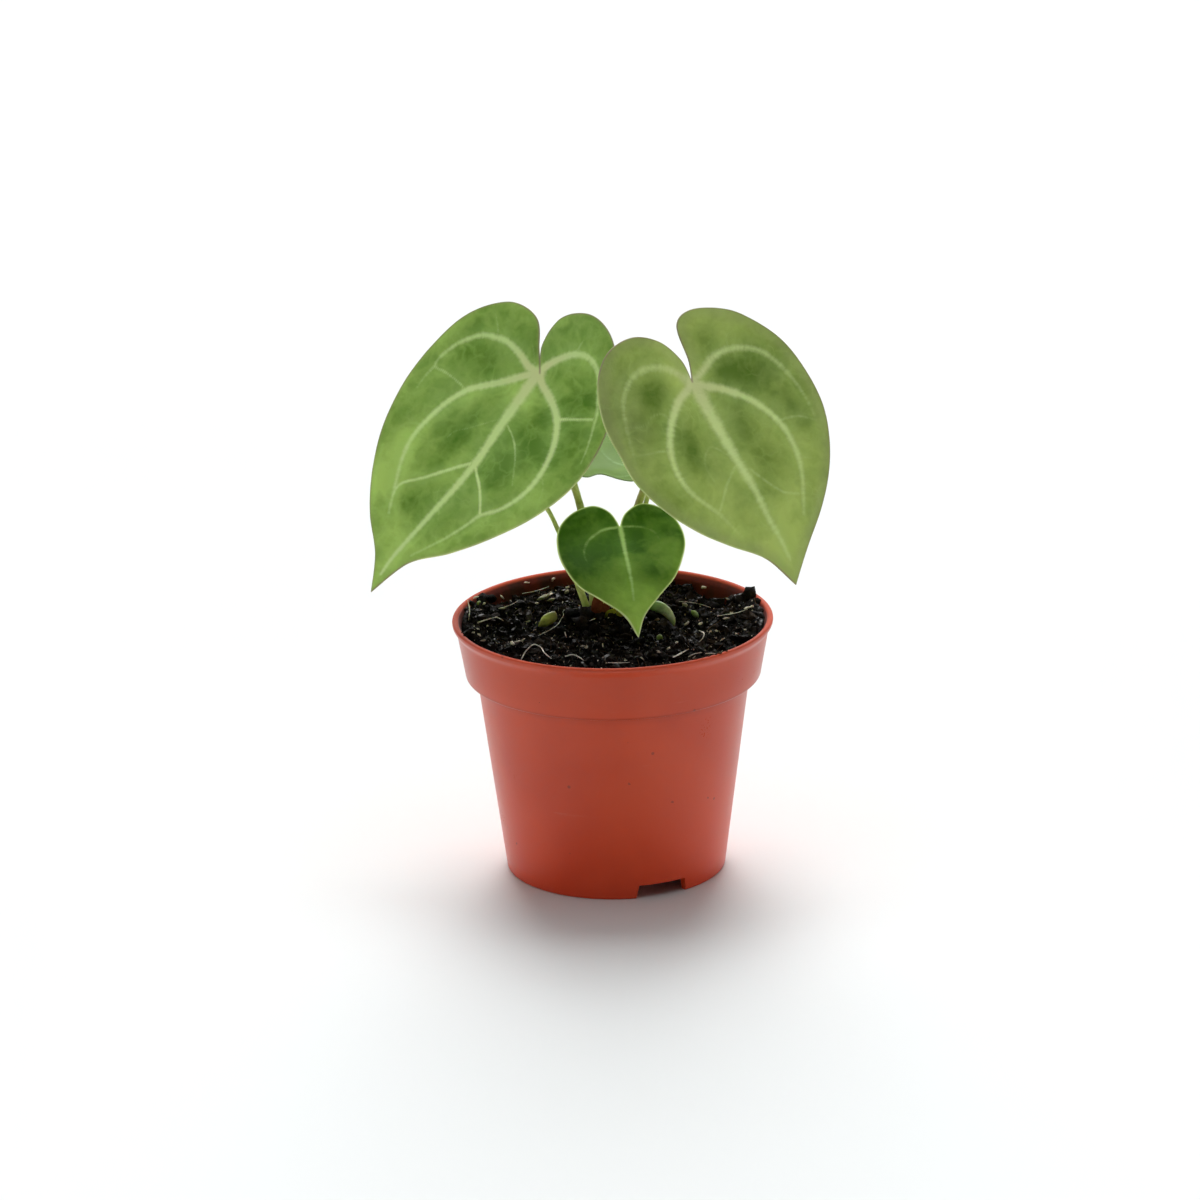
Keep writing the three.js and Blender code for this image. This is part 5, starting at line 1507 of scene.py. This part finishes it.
def make_soil():
    peat = peat_material("moist_peat", (7, 6, 5), (30, 22, 15), 0.35)
    loose = peat_material("loose_peat", (9, 7, 6), (46, 33, 23), 0.3)
    bark = peat_material("bark_fibres", (40, 28, 18), (110, 84, 58))
    white = grain_material("white_grains", (244, 230, 212), (160, 141, 119))
    roots = grain_material("white_roots", (232, 226, 214), (186, 170, 148))
    bed = make_peat_bed(peat)
    # no crumbs where the stalks, the shoot and the bud stand
    ground = ground_for_strewing([(*stalk["foot"], 1.5) for stalk in STALKS.values()] + [
        (8.2, 4.0, 1.6), (10.9, 2.3, 1.5), (-12.1, 0.9, 2.2)])
    tree = scatter_tree()
    lumps = crumb_shapes("lump", 1, (1.3, 0.9, 0.7), (1.0, 1.0, 0.8), (1.7, 0.8, 0.6),
                         (0.9, 0.7, 1.1), (1.5, 1.1, 0.5))
    large = strew("peat_lumps", ground, tree, lumps, loose, Spacing=1.2 * MM, Density=7e5,
                  Smallest=0.5, Largest=2.3, Lift=-0.1 * MM, Seed=3)
    crumbs = crumb_shapes("crumb", 11, (1.2, 0.9, 0.8), (1.0, 1.0, 1.0), (1.8, 0.8, 0.5), fine=1)
    small = strew("peat_crumbs", ground, tree, crumbs, peat, Spacing=0.5 * MM, Density=4e6,
                  Smallest=0.25, Largest=0.9, Lift=0.1 * MM, Seed=7)
    fibres = [fibre_shape(f"fibre_{k}", 40 + k, 2.6 + k * 0.5, 0.07) for k in range(4)]
    strew("peat_fibres", ground, tree, fibres, bark, Spacing=2.6 * MM, Density=2e5,
          Smallest=0.5, Largest=1.3, Lift=0.55 * MM, Seed=12)
    chips = crumb_shapes("grain", 21, (1.3, 0.7, 0.6), (1.0, 0.9, 0.6), (2.4, 0.5, 0.4))
    strew("small_grains", ground, tree, chips, white, Spacing=1.5 * MM, Density=4e5,
          Smallest=0.12, Largest=0.36, Lift=0.5 * MM, Seed=19)
    bpy.data.objects.remove(ground, do_unlink=True)
    seen = ground_seen([bed, large, small])
    make_grains(seen, white)
    make_threads(seen, roots)
    make_rim_debris(loose, bark)
    return seen


def turned(first, second, axis):
    """A turn about the upright axis by the first angle and about another by the second."""
    return Matrix.Rotation(first, 3, "Z") @ Matrix.Rotation(second, 3, axis)


def placed_crumb(seed, squash, size, centre, turn):
    """Points and faces of one crumb turned and set down at a place."""
    shape = crumb_shape("one", seed, squash, 2)
    points = [np.array(turn @ (v.co / MM)) * size + centre for v in shape.data.vertices]
    faces = [tuple(p.vertices) for p in shape.data.polygons]
    bpy.data.objects.remove(shape, do_unlink=True)
    return points, faces


def make_grains(seen, material):
    parts, shades = [], []
    draw = random.Random(8)
    for x, y, size in SEEN_GRAINS:
        turn = turned(draw.uniform(-0.6, 0.6), draw.uniform(-0.7, 0.7), "Y")
        centre = seen(x, y) + np.array([0.0, -0.1, 0.1]) * size
        squash = draw.choice([(1.1, 0.7, 0.7), (1.4, 0.6, 0.55), (0.9, 0.8, 0.6), (1.7, 0.6, 0.45)])
        parts.append(placed_crumb(draw.randrange(90), squash, size * 0.82, centre, turn))
        shades.extend([draw.choice([0.0, 0.1, 0.4, 0.8])] * len(parts[-1][0]))
    add_piece("white_grains", joined(parts), material, "peat", shade=shades)


# Peat that lies on the rim or stands above it: place with height, size, squash
RIM_LUMPS = [
    ((25.9, 11.4, 48.6), 3.0, (1.0, 0.9, 1.1)), ((24.4, 11.8, 47.6), 3.0, (1.2, 0.9, 0.8)),
    ((26.8, 8.6, 47.8), 2.8, (0.9, 1.2, 0.8)), ((22.9, 13.4, 47.0), 2.6, (1.3, 0.8, 0.7)),
    ((27.3, 5.0, 48.0), 2.4, (0.8, 1.4, 0.6)), ((27.6, 1.6, 47.9), 2.0, (0.8, 1.4, 0.6)),
    ((-25.0, 14.4, 47.9), 2.6, (1.1, 1.0, 0.8)), ((-26.6, 11.2, 47.8), 2.0, (0.8, 1.3, 0.7)),
    ((-27.3, 7.4, 47.7), 1.8, (0.8, 1.3, 0.7)), ((-23.2, 16.2, 47.3), 2.0, (1.2, 0.9, 0.7)),
]
# Clods heaped against the crown and the shoot
CROWN_CLODS = [
    ((-4.7, 2.7, 48.3), 3.6, (1.2, 0.8, 0.9)), ((-7.6, 4.0, 48.0), 3.0, (1.2, 0.8, 0.7)),
    ((-2.2, 2.1, 47.8), 3.0, (1.2, 0.8, 0.9)), ((0.6, 1.9, 47.5), 2.8, (1.3, 0.8, 0.8)),
    ((3.2, 2.6, 47.3), 2.8, (1.2, 0.8, 0.8)), ((7.2, 3.2, 47.9), 2.4, (1.2, 0.8, 0.8)),
    ((-6.2, 0.4, 47.3), 3.4, (1.3, 0.9, 0.8)), ((5.6, 4.9, 47.6), 2.6, (1.0, 0.9, 0.8)),
]
# Crumbs that stick to the rim and the collar: place, size
STUCK_CRUMBS = [
    ((19.6, -21.9, 48.75), 0.7), ((18.9, -22.5, 48.75), 0.45), ((17.6, -23.3, 48.75), 0.5),
    ((16.4, -24.3, 48.72), 0.4), ((15.1, -24.8, 48.75), 0.55), ((13.6, -25.9, 48.72), 0.35),
    ((11.9, -26.6, 48.72), 0.3), ((20.9, -20.8, 48.75), 0.4), ((-27.6, -9.6, 48.72), 0.35),
    ((-28.1, -7.7, 48.72), 0.3), ((-13.6, -24.3, 40.6), 0.36), ((-13.4, -25.9, 47.3), 0.34),
    ((-11.1, -27.0, 47.3), 0.3), ((-20.2, -20.9, 48.72), 0.3), ((-24.2, -15.9, 48.72), 0.35),
]


def make_rim_debris(peat, bark):
    draw = random.Random(31)

    def crumb(seed, at, size, squash):
        turn = turned(draw.uniform(0, 6.28), draw.uniform(-0.5, 0.5), "X")
        return placed_crumb(seed, squash, size, np.array(at), turn)

    points, faces = joined([crumb(60 + k, at, size, squash) for k, (at, size, squash)
                            in enumerate(RIM_LUMPS + CROWN_CLODS)])
    # what lies lower than the rim's top stays inside the wall
    reach = np.hypot(points[:, 0], points[:, 1])
    most = np.where(points[:, 2] < POT_HEIGHT + 0.05, RIM_INSIDE, RIM_RADIUS - 0.5)
    points[:, :2] *= np.minimum(1.0, most / np.maximum(reach, 1.0))[:, None]
    add_piece("rim_lumps", (points, faces), peat, "peat", shade=0.0)
    stuck = joined([crumb(80 + k, at, size, (1.4, 0.8, 0.6))
                    for k, (at, size) in enumerate(STUCK_CRUMBS)])
    add_piece("stuck_crumbs", stuck, bark, "peat", shade=0.0)


# ---- crown, bracts, roots, shoot and bud ----

# Dry scales round the stalks' feet: place, lean, height, radius, tint
BRACTS = [
    ((-2.8, 2.8), (0.1, -0.4), 4.8, 1.4, "red"), ((-1.9, 10.4), (0.3, 0.7), 3.4, 0.5, "red"),
    ((-1.5, 2.6), (0.7, -0.5), 3.7, 0.95, "red"), ((-1.3, 2.2), (2.4, -0.9), 2.1, 0.8, "green"),
    ((0.4, 2.1), (2.4, -0.8), 1.4, 0.75, "green"),
]
BRACT_TINTS = dict(red=((110, 50, 27), (130, 78, 42)), green=((150, 150, 40), (170, 144, 58)))
ROOT_AZIMUTHS = (35, 128, 214, 305)


def root(azimuth):
    """A thick root from the crown down and out into the peat."""
    turn, low = radians(azimuth), CROWN_TOP - CROWN_DEPTH
    points = []
    for share, height in ((0, low + 1.5), (0.45, low - 3), (0.8, low - 12), (1, 14)):
        out = 1.5 + 13 * share
        points.append((CROWN_AT[0] * (1 - share) + cos(turn) * out,
                       CROWN_AT[1] * (1 - share) + sin(turn) * out, height))
    shares = np.linspace(0.0, 1.0, 41)
    radii = 0.8 * (1 - 0.45 * shares) * (1 + 0.05 * np.sin(shares * 47))
    return tube(bent_spline(points, 40), radii, 14)


def bract(at, lean, height, radius):
    path = bent_spline([
        (at[0] + lean[0] * share, at[1] + lean[1] * share, CROWN_TOP + rise)
        for share, rise in ((0.0, -1.0), (0.3, height * 0.45), (1.0, height))], 16)
    radii = radius * np.sqrt(np.maximum(1.0 - np.linspace(0.0, 1.0, 17) ** 2.2, 0.004))
    return tube(path, radii, 16, 0.4, (0.15, 1.0, 0.1))


def knobs(p):
    """How far a point is pushed in each direction, by a smooth noise that always repeats."""
    return np.array([noise.noise(Vector(p) * 0.9 + Vector(offset)) for offset in (
        (9.3, -1.5, -7.9), (0.0, 0.0, 0.0), (6.3, 11.2, -3.5))])


def make_crown():
    bark = peat_material("root_bark", (96, 78, 48), (158, 136, 96))
    low, high = CROWN_TOP - CROWN_DEPTH, CROWN_TOP - 0.2
    profile = rounded_profile([
        (0, low, 0), (CROWN_RADIUS - 1.2, low, 0.6), (CROWN_RADIUS, low + 1.6, 0.8),
        (CROWN_RADIUS, high, 0.5), (0, high, 0),
    ])
    stub, faces = lathe(between(profile, 0.8), 48)
    stub = [p + (*CROWN_AT, 0.0) + 0.12 * knobs(p) for p in stub]
    parts = [(stub, faces)] + [root(azimuth) for azimuth in ROOT_AZIMUTHS]
    add_piece("crown_with_roots", joined(parts), bark, "rootstock", "crown_and_roots", shade=0.0)
    for tint, colours in BRACT_TINTS.items():
        scales = [bract(*scale) for *scale, colour in BRACTS if colour == tint]
        add_piece(f"dry_scales_{tint}", joined(scales), peat_material(f"scale_{tint}", *colours),
                  "young_growth", shade=0.0)


def young_material(name, base_colour, tip_colour):
    """Tender green with a paler tip, after the length stored on the piece."""
    look = Look(name)
    mixed = look.mottled(500.0, 3000.0, 0.4)[1]
    tip = look.ramp(look.attribute("along"), 0.3, 0.95)
    base = look.layered(look.blend(tip, base_colour, tip_colour),
                        (look.ramp(mixed, 0.42, 0.7, 0.0, 0.5), (72, 80, 26)))
    return look.finished(base, look.ramp(mixed, 0.3, 0.7, 0.5, 0.65),
                         look.bumped(mixed, 0.3, 0.0001),
                         {GLOSS: 0.25, "Subsurface Weight": 0.12, "Subsurface Scale": 0.0005})


SHOOT_PATH = [(6.9, 5.2, 44.6), (7.0, 4.9, 47.0), (7.5, 4.5, 48.9), (8.9, 3.7, 49.15),
              (10.3, 2.9, 48.4), (11.2, 2.1, 47.2), (11.5, 1.6, 46.2)]
# Small green and beige growths on the peat: place, size, length, turn, tilt, colour
SPROUTS = [
    ((13.8, 9.0), 0.55, 1.9, -25.0, -36.0, "beige"), ((15.5, 4.4), 0.55, 2.0, -25.0, -38.0, "pale"),
    ((-13.0, 15.6), 0.42, 2.9, 32.0, 12.0, "beige"), ((-11.6, 14.0), 0.3, 1.7, 20.0, 12.0, "beige"),
    ((-8.6, 18.6), 0.35, 1.4, 60.0, 12.0, "beige"), ((8.7, -9.1), 0.62, 1.5, 70.0, 20.0, "olive"),
    ((-25.2, 12.6), 0.4, 1.3, 80.0, 12.0, "olive"), ((8.2, 1.6), 0.35, 1.1, 10.0, 12.0, "pink"),
]
SPROUT_TINTS = dict(
    beige=((120, 112, 84), (160, 150, 122)), pale=((146, 160, 100), (196, 200, 168)),
    olive=((108, 122, 52), (140, 150, 84)), pink=((150, 112, 96), (186, 156, 140)),
)


def rounded_body(centre, radius, length, turn, tilt):
    """A plump spindle: points, faces and how far along its length each point is."""
    turn, tilt = radians(turn), radians(tilt)
    direction = np.array([cos(turn) * cos(tilt), sin(turn) * cos(tilt), sin(tilt)])
    angles = np.linspace(0.12, pi - 0.12, 14)
    path = [np.array(centre) - direction * cos(t) * length / 2 for t in angles]
    radii = [radius * sin(t) ** 1.15 * (1 - 0.2 * cos(t)) for t in angles]
    points, faces, uv = tube(path, radii, 20)
    dents = [noise.noise(Vector(p) * 1.1) + 0.5 * noise.noise(Vector(p) * 2.7) for p in points]
    points = points + np.outer(np.array(dents) * 0.28 * radius, (0.6, 0.5, 0.6))
    return points, faces, uv[:, 1]


def make_small_growths(seen):
    shares = np.linspace(0.0, 1.0, 41)
    radii = 1.06 * np.sqrt(np.maximum(0.05, 1 - shares**4)) * (0.85 + 0.25 * np.sin(shares * 3.1))
    shape = tube(bent_spline(SHOOT_PATH, 40), radii, 20, 0.85, (0.6, 0.8, 0.0))
    green = young_material("shoot_green", (98, 148, 34), (196, 200, 158))
    add_piece("curled_shoot", shape, green, "young_growth", "shoot", along=shape[2][:, 1])
    shape = rounded_body((-12.1, 0.9, 48.05), 1.1, 4.2, 25.0, 26.0)
    green = young_material("bud_green", (184, 186, 84), (112, 106, 50))
    add_piece("green_bud", shape, green, "young_growth", "bud", along=shape[2])
    for tint, colours in SPROUT_TINTS.items():
        parts = []
        for at, radius, length, turn, tilt, colour in SPROUTS:
            if colour == tint:
                centre = seen(*at) + np.array([0.0, -0.3, 0.1]) * radius
                parts.append(rounded_body(centre, radius, length, turn, tilt))
        add_piece(f"sprouts_{tint}", joined(parts), young_material(f"sprout_{tint}", *colours),
                  "young_growth", along=np.concatenate([part[2] for part in parts]))


# ---- surroundings ----


def make_camera():
    yaw, pitch, roll = (radians(v) for v in (CAMERA_YAW, CAMERA_PITCH, CAMERA_ROLL))
    forward = np.array([sin(yaw) * cos(pitch), cos(yaw) * cos(pitch), -sin(pitch)])
    right = np.array([cos(yaw), -sin(yaw), 0.0])
    up = np.cross(right, forward)
    columns = (cos(roll) * right + sin(roll) * up, cos(roll) * up - sin(roll) * right,
               -forward, (np.array(CAMERA_AT) + POT_AXIS) * MM)
    data = bpy.data.cameras.new("camera")
    data.lens = CAMERA_LENS
    data.sensor_width = SENSOR
    data.clip_end = 20.0
    camera = bpy.data.objects.new("camera", data)
    camera.matrix_world = Matrix((*zip(*columns), (0, 0, 0, 1)))
    bpy.context.scene.collection.objects.link(camera)
    bpy.context.scene.camera = camera


def make_floor():
    look = Look("pale_floor")
    clouds = look.ramp(look.grain(look.where, 3.0, 2.0), 0.3, 0.7)
    base = look.blend(clouds, (0.8, 0.825, 0.825, 1.0), (0.82, 0.845, 0.845, 1.0))
    material = look.finished(base, 0.8, more={GLOSS: 0.1})
    corners = [(x * FLOOR_HALF_WIDTH, y * FLOOR_HALF_WIDTH, 0)
               for x, y in ((-1, -1), (1, -1), (1, 1), (-1, 1))]
    floor = mesh_object("pale_floor", corners, [(0, 1, 2, 3)], material)


def make_light():
    """White walls: a tall bright one behind, a low band all round that is dimmest in front."""
    world = bpy.data.worlds.new("soft_white")
    world.use_nodes = True
    tree = Tree(world.node_tree)
    aside, back, high = tree.split(tree.coordinates("Generated"))
    aside = tree.maths("ABSOLUTE", aside)
    tall = tree.times(tree.ramp(aside, 0.17, 0.38, BACK_LIGHT, 0.0), tree.ramp(back, 0.1, 0.22))
    low = tree.times(tree.ramp(back, -1.0, 0.0, FRONT_LIGHT, SIDE_LIGHT),
                     tree.ramp(high, 0.0, 0.19, 1.0, 0.0))
    background = world.node_tree.nodes["Background"]
    tree.put(background.inputs["Color"], (1.0, 1.0, 1.0, 1.0))
    tree.put(background.inputs["Strength"],
             tree.plus(tall, low, tree.ramp(high, 0.6, 1.0, 0.0, TOP_LIGHT)))
    bpy.context.scene.world = world
    bpy.context.scene.view_settings.view_transform = "Standard"


make_camera()
make_floor()
make_light()
make_pot()
on_peat = make_soil()
make_crown()
make_small_growths(on_peat)
make_stalks()
make_blades()
